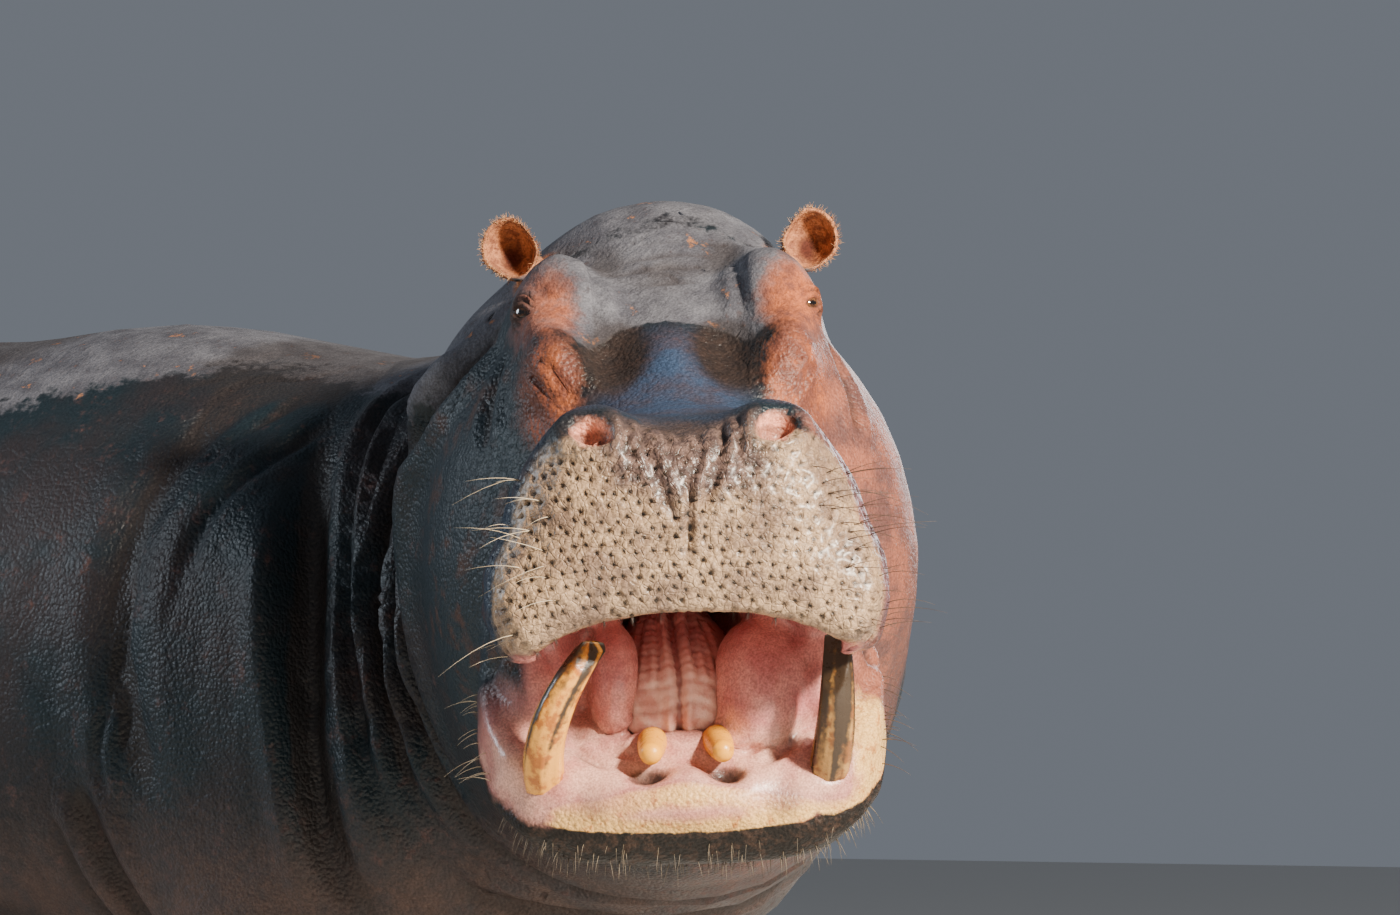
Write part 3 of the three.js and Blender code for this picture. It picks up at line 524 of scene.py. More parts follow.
# The legs wrinkle at the wrist and the knee, and the toes bulge over their nails.
for leg, rings in (
    ("fore", (0.15, 0.19, 0.33, 0.38, 0.5, 0.56)), ("hind", (0.15, 0.19, 0.3, 0.36, 0.45, 0.52))
):
    for hand in ("left", "right"):
        low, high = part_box("%sfoot_%s" % (leg, hand))
        centre = (low + high) / 2
        out = places[:, :2] - np.array(centre.xy)
        on_leg = (np.hypot(out[:, 0], out[:, 1]) < 0.24) & (places[:, 2] < 0.64)
        unrolled = np.stack((np.arctan2(out[:, 0], -out[:, 1]) * 0.13, places[:, 2]), axis=1)
        for number, height in enumerate(rings):
            start = -0.41 + 0.13 * ((number * 7) % 4)
            reach = np.linspace(start, min(0.41, start + 0.42 + 0.09 * (number % 3)), 8)
            wave = [(x, height + 0.02 * math.sin(9 * x + 2.1 * number)) for x in reach]
            furrow(lift, unrolled, wave, 0.006, 0.012, 0.6, on_leg, 0.25)
        nails = [middle("toenail_%s_%s_%d" % (leg, hand, number)) for number in range(1, 5)]
        for nail in nails:
            swell(lift, places, (nail.x, nail.y, 0.085), (0.034, 0.034, 0.03), 0.009, on_leg)
        for one, next_one in zip(nails, nails[1:]):
            between = (one + next_one) / 2
            way = (between - centre) * 0.08
            path = [(between.x + way.x, between.y + way.y, z) for z in (0.012, 0.05, 0.085, 0.12)]
            furrow(lift, places, path, 0.013, 0.011, 0.5, on_leg, 0.15, snap=True)

# The muzzle's follicles: pits in rows, about two centimetres apart, with pebbles between them.
PIT_GAP = 0.0185


def muzzle_flat(head):
    """The muzzle's skin rolled out flat: how far round it, and how high."""
    back = np.maximum(head[:, 1] - 0.05, 0)
    return np.stack((head[:, 0] + np.sign(head[:, 0]) * back * 0.9, head[:, 2]), axis=1)


draw = np.random.default_rng(7)
pits = KDTree(33 * 26)
for row in range(26):
    for column in range(33):
        x = (column - 16 + 0.5 * (row % 2)) * PIT_GAP
        z = 0.94 + row * PIT_GAP * 0.87
        shift = draw.normal(0, 0.0026, 2)
        pits.insert((x + shift[0], z + shift[1] - 0.35 * x * x, 0), row * 33 + column)
pits.balance()


def pit_gap(head, on):
    """How far each spot of the muzzle is from the nearest follicle."""
    gaps = np.full(len(head), 0.02)
    flat = muzzle_flat(head)
    for k in np.flatnonzero(on):
        gaps[k] = pits.find((flat[k, 0], flat[k, 1], 0))[2]
    return gaps


pebbled = (
    (head[:, 1] < 0.16) & (head[:, 2] > 0.99) & (head[:, 2] < 1.33)
    & (head_normals[:, 1] < 0.5) & outside_mouth
)
gap = pit_gap(head, pebbled)
fade = ramp(0.15 - head[:, 1], 0, 0.04) * (1 - ramp(head[:, 2], 1.27, 1.32))
lift += pebbled * fade * (0.0022 * ramp(gap, 0.002, 0.008) - 0.004 * (1 - ramp(gap, 0.001, 0.0054)))

places += normals * lift[:, None]
# How deep each spot is sunk, kept to paint shade into the creases and hollows.
sunk_by = np.maximum(-lift, 0)

# The lids close over the eyeball to an almond slit, and the skin inside it sinks behind the eye.
for hand in (-1, 1):
    gaze = Vector((hand * 0.58, -0.8, 0.14)).normalized()
    across = Vector((0, 0, 1)).cross(gaze).normalized() * hand
    across = (across + Vector((0, 0, 0.22))).normalized()
    above = gaze.cross(across).normalized() * hand
    rest = seen_from(HEAD, places) - np.array((hand * EYE_IN_HEAD.x, EYE_IN_HEAD.y, EYE_IN_HEAD.z))
    away = np.linalg.norm(rest, axis=1)
    near = (away < EYEBALL * 1.9) & (rest @ np.array(gaze) > 0.2 * away)
    way = rest[near] / away[near, None]
    a = np.arctan2(way @ np.array(across), way @ np.array(gaze))
    b = np.arcsin(np.clip(way @ np.array(above), -1, 1))
    slit = np.abs(b) / np.where(b > 0, 0.24, 0.26) + (a / 0.56) ** 2
    shut = ramp(slit, 0.85, 1.2)
    round_eye = np.maximum(away[near], EYEBALL + LID * (1 - ramp(slit, 2.5, 6)) - 0.001)
    crease = np.zeros(near.sum())
    flat = np.stack((a, b), axis=1)
    furrow(
        crease, flat, [(-0.85, 0.02), (-0.45, 0.44), (0.05, 0.6), (0.5, 0.46), (0.95, 0.05)], 0.0045,
        0.07, 0.6,
    )
    furrow(
        crease, flat, [(-0.8, -0.1), (-0.35, -0.5), (0.1, -0.58), (0.55, -0.42), (0.9, 0.0)], 0.003,
        0.07, 0.6,
    )
    furrow(crease, flat, [(-0.85, 0.3), (-0.4, 0.8), (0.1, 0.95), (0.6, 0.8), (1.1, 0.3)], 0.0035, 0.08, 0.6)
    furrow(crease, flat, [(-0.85, -0.35), (-0.3, -0.82), (0.2, -0.88), (0.7, -0.65)], 0.0035, 0.08, 0.6)
    reach = shut * (round_eye + crease) + (1 - shut) * (EYEBALL - 0.007)
    moved = seen_from(HEAD, places)
    moved[near] = np.array((hand * EYE_IN_HEAD.x, EYE_IN_HEAD.y, EYE_IN_HEAD.z)) + way * reach[:, None]
    places = moved @ np.array(HEAD.to_3x3()).T + np.array(HEAD.translation)
places[:, 2] = np.maximum(places[:, 2], 0)  # the soles stand on the floor
move_to(skin, places)


def keep_mask(mesh, name, values):
    layer = mesh.attributes.new(name, "FLOAT", "POINT")
    layer.data.foreach_set("value", np.clip(values, 0, None).astype(np.float32))


# The sunk depth, which the finish reads to paint shade into the creases.
keep_mask(skin, "sunk", sunk_by)

# ---------------------------------------------------------------- the hide: ears
# The ears are small stiff cups of gristle on short thick roots. Their rims roll over, and the
# lobe at the bottom pinches in. They are joined into the hide, so no seam shows.
EAR_WIDE, EAR_HIGH = 0.041, 0.047
EAR_PROFILE = [
    (0, 0.033), (0.4, 0.031), (0.66, 0.022), (0.86, 0.006), (0.97, -0.01), (1.0, -0.021),
    (0.95, -0.0265), (0.87, -0.0235), (0.82, -0.014), (0.72, -0.001), (0.5, 0.011), (0.22, 0.017),
    (0, 0.018),
]  # share of the half width, and how far back, from the pole outside to the pole inside


def ear_blank(hand):
    cup = bmesh.new()
    last = None
    for share, back in smooth_path(EAR_PROFILE, 4):
        vert = cup.verts.new((max(share, 0) * EAR_HIGH, back, 0))
        if last:
            cup.edges.new((last, vert))
        last = vert
    bmesh.ops.spin(
        cup, geom=cup.verts[:] + cup.edges[:], cent=(0, 0, 0), axis=(0, 1, 0), angle=math.tau, steps=64,
        use_merge=True,
    )
    bmesh.ops.remove_doubles(cup, verts=cup.verts, dist=1e-5)
    for vert in cup.verts:
        x, y, z = vert.co
        low = ramp(-z, 0.0, EAR_HIGH)
        far = math.hypot(x, z) / EAR_HIGH
        angle = math.atan2(z, x)
        x *= EAR_WIDE / EAR_HIGH * (1 - 0.32 * low)
        y += (
            0.004 * math.sin(2 * angle + 0.8) * far**2 - 0.012 * low * far
            + 0.0022 * math.sin(5 * angle) * far**4
        )
        inner = ramp(-x, 0.008, 0.032) * ramp(z, -0.03, 0.02) * far**4
        x += 0.009 * inner
        y -= 0.006 * inner
        if 0.25 < far < 0.95 and y < 0.012:  # ribs of gristle on the inside of the cup
            y -= 0.003 * math.sin(4 * angle + 5 * far) * math.sin(far * 4)
        vert.co = (x * hand, y, z)
    root = bmesh.ops.create_uvsphere(cup, u_segments=32, v_segments=20, radius=1)["verts"]
    for vert in root:
        vert.co = (vert.co.x * 0.027 - hand * 0.022, vert.co.y * 0.021 + 0.014, vert.co.z * 0.034 - 0.042)
    tilt = Matrix.Rotation(math.radians(hand * 14), 4, "Y") @ Matrix.Rotation(math.radians(-8), 4, "X")
    place_at = HEAD @ Matrix.Translation((hand * EAR_AT.x, EAR_AT.y, EAR_AT.z)) @ tilt
    bmesh.ops.transform(cup, matrix=place_at, verts=cup.verts)
    bmesh.ops.recalc_face_normals(cup, faces=cup.faces)
    mesh = bpy.data.meshes.new("ear_blank")
    cup.to_mesh(mesh)
    cup.free()
    return place("ear_blank", mesh)


for hand in (-1, 1):
    ear = ear_blank(hand)
    finish_with(ear, "one", "REMESH", mode="VOXEL", voxel_size=0.0017)
    finish_with(ear, "even", "SMOOTH", factor=0.5, iterations=6)
    finish_with(hide, "ear", "BOOLEAN", operation="UNION", solver="MANIFOLD", object=ear)
    bpy.data.objects.remove(ear)
skin = hide.data


def ear_gap(head):
    """How far each spot lies from the nearer ear's middle, and from its root."""
    pair = np.stack((np.abs(head[:, 0]), head[:, 1], head[:, 2]), axis=1)
    root = np.array(EAR_AT) + (-0.03, 0.01, -0.062)
    return np.linalg.norm(pair - np.array(EAR_AT), axis=1), np.linalg.norm(pair - root, axis=1)


ease(hide, 1 - ramp(ear_gap(seen_from(HEAD, places_of(skin)))[1], 0.028, 0.045), 12)


def thinned(piece, most, weights):
    """Fewer faces where the skin is plain, and fine ones where the modelling is."""
    group = piece.vertex_groups.new(name="plain")
    steps = np.round(np.clip(weights, 0.02, 1) * 50).astype(int)
    for step in np.unique(steps):
        group.add(np.flatnonzero(steps == step).tolist(), step / 50, "REPLACE")
    ratio = most / sum(len(face.vertices) - 2 for face in piece.data.polygons)
    finish_with(piece, "thin", "DECIMATE", ratio=ratio, vertex_group="plain", vertex_group_factor=1)
    piece.vertex_groups.remove(piece.vertex_groups["plain"])


HIDE_FACES = 192000
full_spots, full_normals = places_of(skin), normals_of(skin)  # where the hairs will root
places = places_of(skin)
head, spine = seen_from(HEAD, places), along_spine(places)
ear, root = ear_gap(head)
pair = np.stack((np.abs(head[:, 0]), head[:, 1], head[:, 2]), axis=1)
eye = np.linalg.norm(pair - EYE_IN_HEAD, axis=1)
plain = 1 - 0.72 * ramp(-spine[:, 0], 0.6, 0.95)
plain = np.minimum(plain, 0.14 + ramp(head[:, 1], 0.08, 0.2))
plain = np.minimum(plain, 0.06 + ramp(eye, 0.04, 0.07))
plain = np.minimum(plain, 0.14 + ramp(ear, 0.06, 0.09))
shown = ramp(-spine[:, 1], 0.05, 0.2) * ramp(0.5 - spine[:, 0], 0, 0.3)
plain = np.minimum(plain, 1 - 0.5 * shown)
plain = np.minimum(plain, 0.3 + 0.7 * ramp(places[:, 2], 0.5, 0.7))
thinned(hide, HIDE_FACES, plain)
skin = hide.data

# ---------------------------------------------------------------- the hide: zones and finish
# The bull has been half under water. Its back and its crown are dry and grey down to the
# waterline, the flank below is wet and dark, and thin skin round the eyes, on the cheek and in
# the mouth shows pink. Some of the colour is painted light and shade: the flank is darkened and
# blued further as painted shade, and so is the animal's right side of the head; the pink of the
# left cheek and throat is partly painted sunlight; the blue of the bridge and the muzzle's sides
# is a painted sky reflection; the hollows beside the bridge, the creases, the follicle pits and
# the tooth sockets are darkened as painted shade. Every zone is a mask on the skin that the one
# finish reads.


def around(at, centre, reach, inner=0.7):
    """1 in the middle of a rounded zone, and 0 outside it."""
    return 1 - ramp(np.sqrt((((at - np.array(centre)) / np.array(reach)) ** 2).sum(axis=1)), inner, 1.3)


def zones(mesh):
    at, facing = places_of(mesh), normals_of(mesh)
    head, jaw, spine = seen_from(HEAD, at), seen_from(JAW, at), along_spine(at)
    toward = facing @ np.array(HEAD.to_3x3())
    side = np.abs(head[:, 0])
    on_head = ramp(-spine[:, 0], 0.75, 0.9)
    pair = np.stack((side, head[:, 1], head[:, 2]), axis=1)
    zone = {}
    tray = ramp(0.222 - side, 0, 0.02) * ramp(jaw[:, 1], -0.588, -0.57) * ramp(jaw[:, 2], -0.055, -0.03)
    tray *= ramp(0.05 - jaw[:, 1], 0, 0.05) * ramp(0.16 - jaw[:, 2], 0, 0.03)
    palate = ramp(0.235 - side, 0, 0.02) * ramp(head[:, 1], 0.05, 0.075) * ramp(1.19 - head[:, 2], 0, 0.05)
    palate *= np.maximum(
        ramp(-toward[:, 2], 0.0, 0.35), ramp(head[:, 1], 0.14, 0.2) * ramp(0.215 - side, 0, 0.02)
    )
    palate *= ramp(jaw[:, 2], -0.045, -0.02)
    band = ramp(jaw[:, 2], -0.064, -0.05) * ramp(0.06 - jaw[:, 2], 0, 0.03) * ramp(-jaw[:, 1], 0.36, 0.5)
    corner = ramp(-head[:, 0], 0.17, 0.2) * ramp(jaw[:, 1], -0.6, -0.57) * band
    zone["mouth"] = np.maximum(np.maximum(tray, palate), corner) * on_head
    zone["rim"] = band * (1 - np.maximum(tray, corner)) * on_head
    zone["chin"] = ramp(-jaw[:, 2], 0.05, 0.062) * ramp(-jaw[:, 1], 0.25, 0.42) * on_head
    zone["muzzle"] = ramp(
        0.085 - head[:, 1], -0.02, 0.05
    ) * ramp(head[:, 2], 0.99, 1.01) * (1 - zone["mouth"])
    zone["muzzle"] *= 1 - ramp(head[:, 2] + 0.25 * np.maximum(side - 0.12, 0), 1.285, 1.325)
    zone["snout_wet"] = around(head, (0, 0.0, 1.285), (0.14, 0.1, 0.09), 0.3) * on_head
    brow = around(pair, (0.17, 0.46, 1.48), (0.06, 0.11, 0.085), 0.3)
    under = around(pair, (0.172, 0.36, 1.375), (0.06, 0.1, 0.1), 0.3)
    zone["flush"] = np.maximum(brow, under) * ramp(side, 0.075, 0.135) * on_head
    # Painted shade: the flush round the eye on the animal's right side is dimmed.
    zone["flush"] *= 1 - 0.4 * ramp(-head[:, 0], 0.1, 0.2)
    waterline = 1.452 + 0.012 * np.cos(head[:, 0] * 22) - 0.02 * ramp(side, 0.06, 0.13)
    crown = ramp(head[:, 2] - waterline, -0.006, 0.008) * ramp(head[:, 1], 0.38, 0.42) * on_head
    crown *= 1 - ramp(side, 0.16, 0.25)
    wave = 0.03 * np.sin(spine[:, 0] * 4 + 1) + 0.016 * np.sin(spine[:, 0] * 11 + spine[:, 1] * 5)
    back = ramp(spine[:, 2] - 1.39 - wave - 0.015 * spine[:, 0], -0.045, 0.05)
    zone["dry"] = np.maximum(crown, back * (1 - on_head))
    # Wet skin on the bridge and along the muzzle's sides, painted blue: a painted reflection of the sky.
    beside = 0.5 * ramp(head[:, 1], 0.05, 0.09) * (
        1 - ramp(head[:, 1], 0.12, 0.3)
    ) * ramp(head[:, 2], 1.0, 1.06)
    zone["slate"] = np.maximum(
        around(head, (0, 0.3, 1.38), (0.1, 0.2, 0.09)), beside * (1 - zone["mouth"])
    ) * on_head
    # Painted shade: the hollows beside the bridge are painted dark brown.
    zone["hollow"] = around(pair, (0.092, 0.4, 1.42), (0.066, 0.1, 0.07), 0.75) * on_head
    # Pink-brown on the animal's left cheek and throat only: partly pink skin, partly painted sunlight on
    # that side.
    pink_and_sunlit_cheek = ramp(head[:, 0], 0.12, 0.2) * ramp(-spine[:, 0], 0.55, 1.1) * ramp(1.5 - head[:, 2], 0, 0.12)
    throat = ramp(spine[:, 1], -0.1, 0.2) * ramp(1.15 - spine[:, 2], 0, 0.5) * ramp(-spine[:, 0], 0.3, 1.05)
    zone["rosy"] = np.maximum(pink_and_sunlit_cheek, throat)
    # Painted shade: the animal's right side of the head is painted dark blue-green, as if in shadow.
    zone["shade"] = ramp(-head[:, 0], 0.16, 0.23) * on_head
    zone["belly"] = ramp(0.95 - spine[:, 2], 0, 0.4) * (1 - on_head)
    nostril = np.linalg.norm((pair - (0.1175, 0.045, 1.3)) / (0.0285, 0.04, 0.028), axis=1)
    zone["nostril"] = (1 - ramp(nostril, 0.75, 1.0)) * on_head
    front_gum = ramp(-jaw[:, 1], 0.38, 0.46) * ramp(0.03 - jaw[:, 2], 0, 0.03)
    pads = around(
        np.stack((side, jaw[:, 1], jaw[:, 2]), axis=1), (0.12, -0.36, 0.02), (0.06, 0.1, 0.028), 0.4
    )
    zone["gum"] = zone["mouth"] * np.maximum(front_gum, 0.8 * pads)
    # Painted shadow: the sockets under the front teeth are painted near black.
    socket = np.stack((side, jaw[:, 1], jaw[:, 2]), axis=1)
    zone["socket"] = np.maximum(
        around(socket, (0.049, -0.553, -0.022), (0.028, 0.022, 0.026), 0.5), 0
    ) * on_head
    # A dark lid margin round each eye; on the animal's right it is painted wider, as shade.
    lid = np.linalg.norm(pair - EYE_IN_HEAD, axis=1) - np.where(head[:, 0] < 0, 0.006, 0.0)
    zone["eyelid"] = (1 - ramp(lid, EYEBALL, EYEBALL + 0.007)) * on_head
    follicles = (zone["muzzle"] > 0.05) | (zone["snout_wet"] > 0.3)
    zone["pit"] = pit_gap(head, follicles)
    zone["smoother"] = ramp(spine[:, 0], 0.15, 0.6)
    ear, root = ear_gap(head)
    zone["ear"] = (1 - ramp(ear, 0.052, 0.06)) * ramp(head[:, 1], 0.3, 0.4)
    local = pair - np.array(EAR_AT)
    zone["ear_dark"] = zone["ear"] * (
        1 - ramp(np.hypot(local[:, 0] / 0.018, (local[:, 2] + 0.006) / 0.024), 0.4, 1.2)
    )
    zone["ear_dark"] *= ramp(local[:, 1], -0.012, 0.002)
    return zone


def wire(tree, kind, inputs=None, **settings):
    """A node whose inputs are set, or linked where they are given a socket."""
    made = tree.nodes.new(kind)
    for key, value in settings.items():
        setattr(made, key, value)
    for key, value in (inputs or {}).items():
        if isinstance(value, bpy.types.NodeSocket):
            tree.links.new(value, made.inputs[key])
        elif isinstance(value, tuple) and len(value) == 3 and made.inputs[key].type == "RGBA":
            made.inputs[key].default_value = value + (1,)
        else:
            made.inputs[key].default_value = value
    return made


def mixed(tree, factor, a, b, blend="MIX"):
    """One colour over another."""
    inputs = {0: factor, 6: a, 7: b}
    return wire(tree, "ShaderNodeMix", inputs, data_type="RGBA", blend_type=blend).outputs[2]


def sum_of(tree, operation, a, b=0.5, c=0.5):
    return wire(tree, "ShaderNodeMath", {0: a, 1: b, 2: c}, operation=operation).outputs[0]


def step(tree, value, low, high, out_low=0.0, out_high=1.0):
    inputs = {"Value": value, "From Min": low, "From Max": high, "To Min": out_low, "To Max": out_high}
    return wire(tree, "ShaderNodeMapRange", inputs, interpolation_type="SMOOTHSTEP").outputs[0]


def grain_of(tree, at, scale, detail=3.0, rough=0.55, stretch=None):
    if stretch:
        at = wire(
            tree, "ShaderNodeMapping", {"Vector": at, "Rotation": stretch[0], "Scale": stretch[1]}
        ).outputs[0]
    return wire(
        tree, "ShaderNodeTexNoise",
        {"Vector": at, "Scale": scale, "Detail": detail, "Roughness": rough},
    ).outputs[0]


def new_group(name, inputs, outputs):
    """A node group, with its input and output nodes."""
    group = bpy.data.node_groups.new(name, "ShaderNodeTree")
    for socket, kind, value in inputs:
        made = group.interface.new_socket(socket, in_out="INPUT", socket_type=kind)
        if value is not None:
            made.default_value = value
    for socket, kind in outputs:
        group.interface.new_socket(socket, in_out="OUTPUT", socket_type=kind)
    return group, group.nodes.new("NodeGroupInput").outputs, group.nodes.new("NodeGroupOutput")


def mottle_group():
    """Blotches of a second colour, soft or sharp, and a fine speckle of light and dark."""
    inputs = [("Colour", "NodeSocketColor", None), ("Blotch", "NodeSocketColor", None)]
    inputs += [
        ("Scale", "NodeSocketFloat", 8.0), ("Amount", "NodeSocketFloat", 0.5),
        ("Speckle", "NodeSocketFloat", 0.3),
    ]
    group, given, result = new_group("mottle", inputs, [("Colour", "NodeSocketColor")])
    at = wire(group, "ShaderNodeTexCoord").outputs["Object"]
    patches = grain_of(group, at, given["Scale"], 6.0, 0.62)
    low = sum_of(group, "MULTIPLY_ADD", given["Amount"], -0.35, 0.68)
    mask = step(group, sum_of(group, "SUBTRACT", patches, low), -0.06, 0.06)
    fine = grain_of(group, at, sum_of(group, "MULTIPLY", given["Scale"], 22.0), 3.0, 0.7)
    shade = sum_of(group, "MULTIPLY_ADD", sum_of(group, "SUBTRACT", fine, 0.5), given["Speckle"], 1.0)
    base = mixed(group, mask, given["Colour"], given["Blotch"])
    made = wire(group, "ShaderNodeVectorMath", {0: base}, operation="SCALE")
    group.links.new(shade, made.inputs["Scale"])
    group.links.new(made.outputs[0], result.inputs["Colour"])
    return group


mottle = mottle_group()


def mottled(tree, colour, blotch, scale=8.0, amount=0.5, speckle=0.3):
    made = tree.nodes.new("ShaderNodeGroup")
    made.node_tree = mottle
    made.inputs["Colour"].default_value = colour + (1,)
    made.inputs["Blotch"].default_value = blotch + (1,)
    made.inputs["Scale"].default_value = scale
    made.inputs["Amount"].default_value = amount
    made.inputs["Speckle"].default_value = speckle
    return made.outputs[0]


def new_finish(name):
    finish = bpy.data.materials.new(name)
    finish.use_nodes = True
    tree = finish.node_tree
    return finish, tree, tree.nodes["Principled BSDF"], wire(tree, "ShaderNodeTexCoord").outputs["Object"]


def hide_finish():
    finish, tree, shader, at = new_finish("hide")

    def mask(name):
        return wire(tree, "ShaderNodeAttribute", attribute_name=name).outputs["Fac"]

    broad = grain_of(tree, at, 5.0, 4.0, 0.6)
    middling = grain_of(tree, at, 17.0, 4.0, 0.62)
    fine = grain_of(tree, at, 70.0, 4.0, 0.65)
    dust = grain_of(tree, at, 330.0, 2.0, 0.6)
    ragged = sum_of(tree, "SUBTRACT", fine, 0.5)
    patches = sum_of(tree, "SUBTRACT", middling, 0.5)

    def blotched(colour, blotch, grain, middle=0.5, spread=0.07):
        return mixed(tree, step(tree, grain, middle - spread, middle + spread), colour, blotch)

    def edge(name, spread=0.5, low=0.35, high=0.65):
        """A mask whose edge frays with the grain of the skin."""
        frayed = sum_of(tree, "MULTIPLY_ADD", sum_of(tree, "ADD", ragged, patches), spread, mask(name))
        return step(tree, frayed, low, high)

    def without(name, other):
        return sum_of(tree, "MULTIPLY", mask(name), sum_of(tree, "SUBTRACT", 1.0, mask(other)))

    # Colours, zone by zone, from the wet flank outwards.
    # The flank's colour is wet dark skin, darkened nearly to black and tinted blue as painted shade.
    flank = blotched((0.009, 0.016, 0.021), (0.018, 0.015, 0.017), broad, 0.52, 0.12)
    belly = blotched((0.08, 0.05, 0.042), (0.042, 0.034, 0.035), middling, 0.5, 0.14)
    colour = mixed(tree, edge("belly", 0.8, 0.1, 0.9), flank, belly)
    # Partly pink skin, partly painted sunlight on the animal's left side.
    rosy = blotched((0.24, 0.082, 0.05), (0.1, 0.044, 0.038), middling, 0.5, 0.14)
    colour = mixed(tree, edge("rosy", 1.0, 0.05, 0.95), colour, rosy)
    # Painted shade over the animal's right side of the head.
    shade = blotched((0.012, 0.021, 0.028), (0.05, 0.027, 0.022), middling, 0.58, 0.08)
    colour = mixed(tree, mask("shade"), colour, shade)
    dry = blotched((0.108, 0.108, 0.124), (0.056, 0.056, 0.068), middling, 0.5, 0.17)
    dry = mixed(tree, step(tree, fine, 0.6, 0.68, 0.0, 0.55), dry, (0.04, 0.035, 0.04))
    mud = sum_of(tree, "MULTIPLY", step(tree, middling, 0.62, 0.68), step(tree, fine, 0.5, 0.58))
    dry = mixed(tree, mud, dry, (0.3, 0.13, 0.06))
    patchy = sum_of(tree, "MULTIPLY_ADD", patches, 1.3, mask("dry"))
    patchy = step(tree, sum_of(tree, "MULTIPLY_ADD", ragged, 0.7, patchy), 0.35, 0.65)
    colour = mixed(tree, patchy, colour, dry)
    # Painted sky reflection: wet skin tinted blue on the bridge and the muzzle's sides.
    slate = blotched((0.03, 0.048, 0.088), (0.038, 0.037, 0.054), middling, 0.52, 0.12)
    colour = mixed(tree, without("slate", "dry"), colour, slate)
    # Painted shade in the hollows beside the bridge.
    brown = blotched((0.011, 0.009, 0.009), (0.03, 0.018, 0.014), fine, 0.5, 0.12)
    colour = mixed(tree, without("hollow", "dry"), colour, brown)
    flush = blotched((0.36, 0.098, 0.034), (0.13, 0.043, 0.028), middling, 0.48, 0.14)
    flush = mixed(tree, step(tree, fine, 0.52, 0.66, 0.0, 0.6), flush, (0.1, 0.04, 0.034))
    colour = mixed(tree, edge("flush", 0.9, 0.1, 0.9), colour, flush)
    beige = blotched((0.39, 0.255, 0.15), (0.19, 0.12, 0.08), middling, 0.5, 0.14)
    beige = mixed(tree, step(tree, fine, 0.55, 0.7, 0.0, 0.6), beige, (0.11, 0.075, 0.055))
    colour = mixed(tree, edge("muzzle", 0.7, 0.25, 0.75), colour, beige)
    wet = blotched((0.16, 0.1, 0.08), (0.07, 0.045, 0.04), fine, 0.48, 0.12)
    colour = mixed(tree, edge("snout_wet", 0.8, 0.1, 0.8), colour, wet)
    # Painted shade: the follicle pits are darkened.
    pit_shade = step(tree, mask("pit"), 0.001, 0.0064, 0.95, 0.0)
    colour = mixed(tree, pit_shade, colour, (0.035, 0.024, 0.017))
    web = wire(
        tree, "ShaderNodeTexVoronoi", {"Vector": at, "Scale": 78.0}, feature="DISTANCE_TO_EDGE"
    ).outputs["Distance"]
    # The crack web's lines on the muzzle are darkened a little: painted shade in the cracks.
    seams = sum_of(tree, "MULTIPLY", step(tree, web, 0.0, 0.12, 1.0, 0.0), mask("muzzle"))
    colour = mixed(tree, sum_of(tree, "MULTIPLY", seams, 0.2), colour, (0.06, 0.042, 0.03))
    chin = blotched((0.008, 0.006, 0.005), (0.035, 0.02, 0.014), fine, 0.54, 0.08)
    colour = mixed(tree, edge("chin", 0.8), colour, chin)
    cream = blotched((0.62, 0.37, 0.13), (0.4, 0.17, 0.05), fine, 0.6, 0.1)
    colour = mixed(tree, edge("rim", 0.5), colour, cream)
    pink = blotched((0.56, 0.235, 0.205), (0.4, 0.13, 0.125), middling, 0.5, 0.15)
    colour = mixed(tree, mask("mouth"), colour, pink)
    colour = mixed(
        tree, mask("gum"), colour,
        blotched((0.58, 0.31, 0.24), (0.43, 0.18, 0.15), middling, 0.52, 0.14),
    )
    # Painted shadow in the sockets under the front teeth.
    colour = mixed(tree, mask("socket"), colour, (0.04, 0.012, 0.01))
    colour = mixed(tree, mask("nostril"), colour, (0.8, 0.33, 0.22))
    # Dark lid margin, partly painted shade on the animal's right.
    colour = mixed(tree, mask("eyelid"), colour, (0.04, 0.022, 0.018))
    ear = blotched((0.42, 0.17, 0.075), (0.2, 0.075, 0.04), fine, 0.52, 0.1)
    colour = mixed(tree, mask("ear"), colour, ear)
    colour = mixed(tree, mask("ear_dark"), colour, (0.07, 0.018, 0.01))
    # Painted shade: the skin darkens where strokes sank it, in creases, furrows and pits.
    sunk = step(tree, mask("sunk"), 0.0005, 0.006, 0.0, 0.6)
    colour = mixed(tree, sunk, colour, (0.025, 0.018, 0.016))
    tone = wire(tree, "ShaderNodeVectorMath", {0: colour}, operation="SCALE")
    tree.links.new(step(tree, dust, 0.25, 0.75, 0.7, 1.3), tone.inputs["Scale"])
    tree.links.new(tone.outputs[0], shader.inputs["Base Color"])

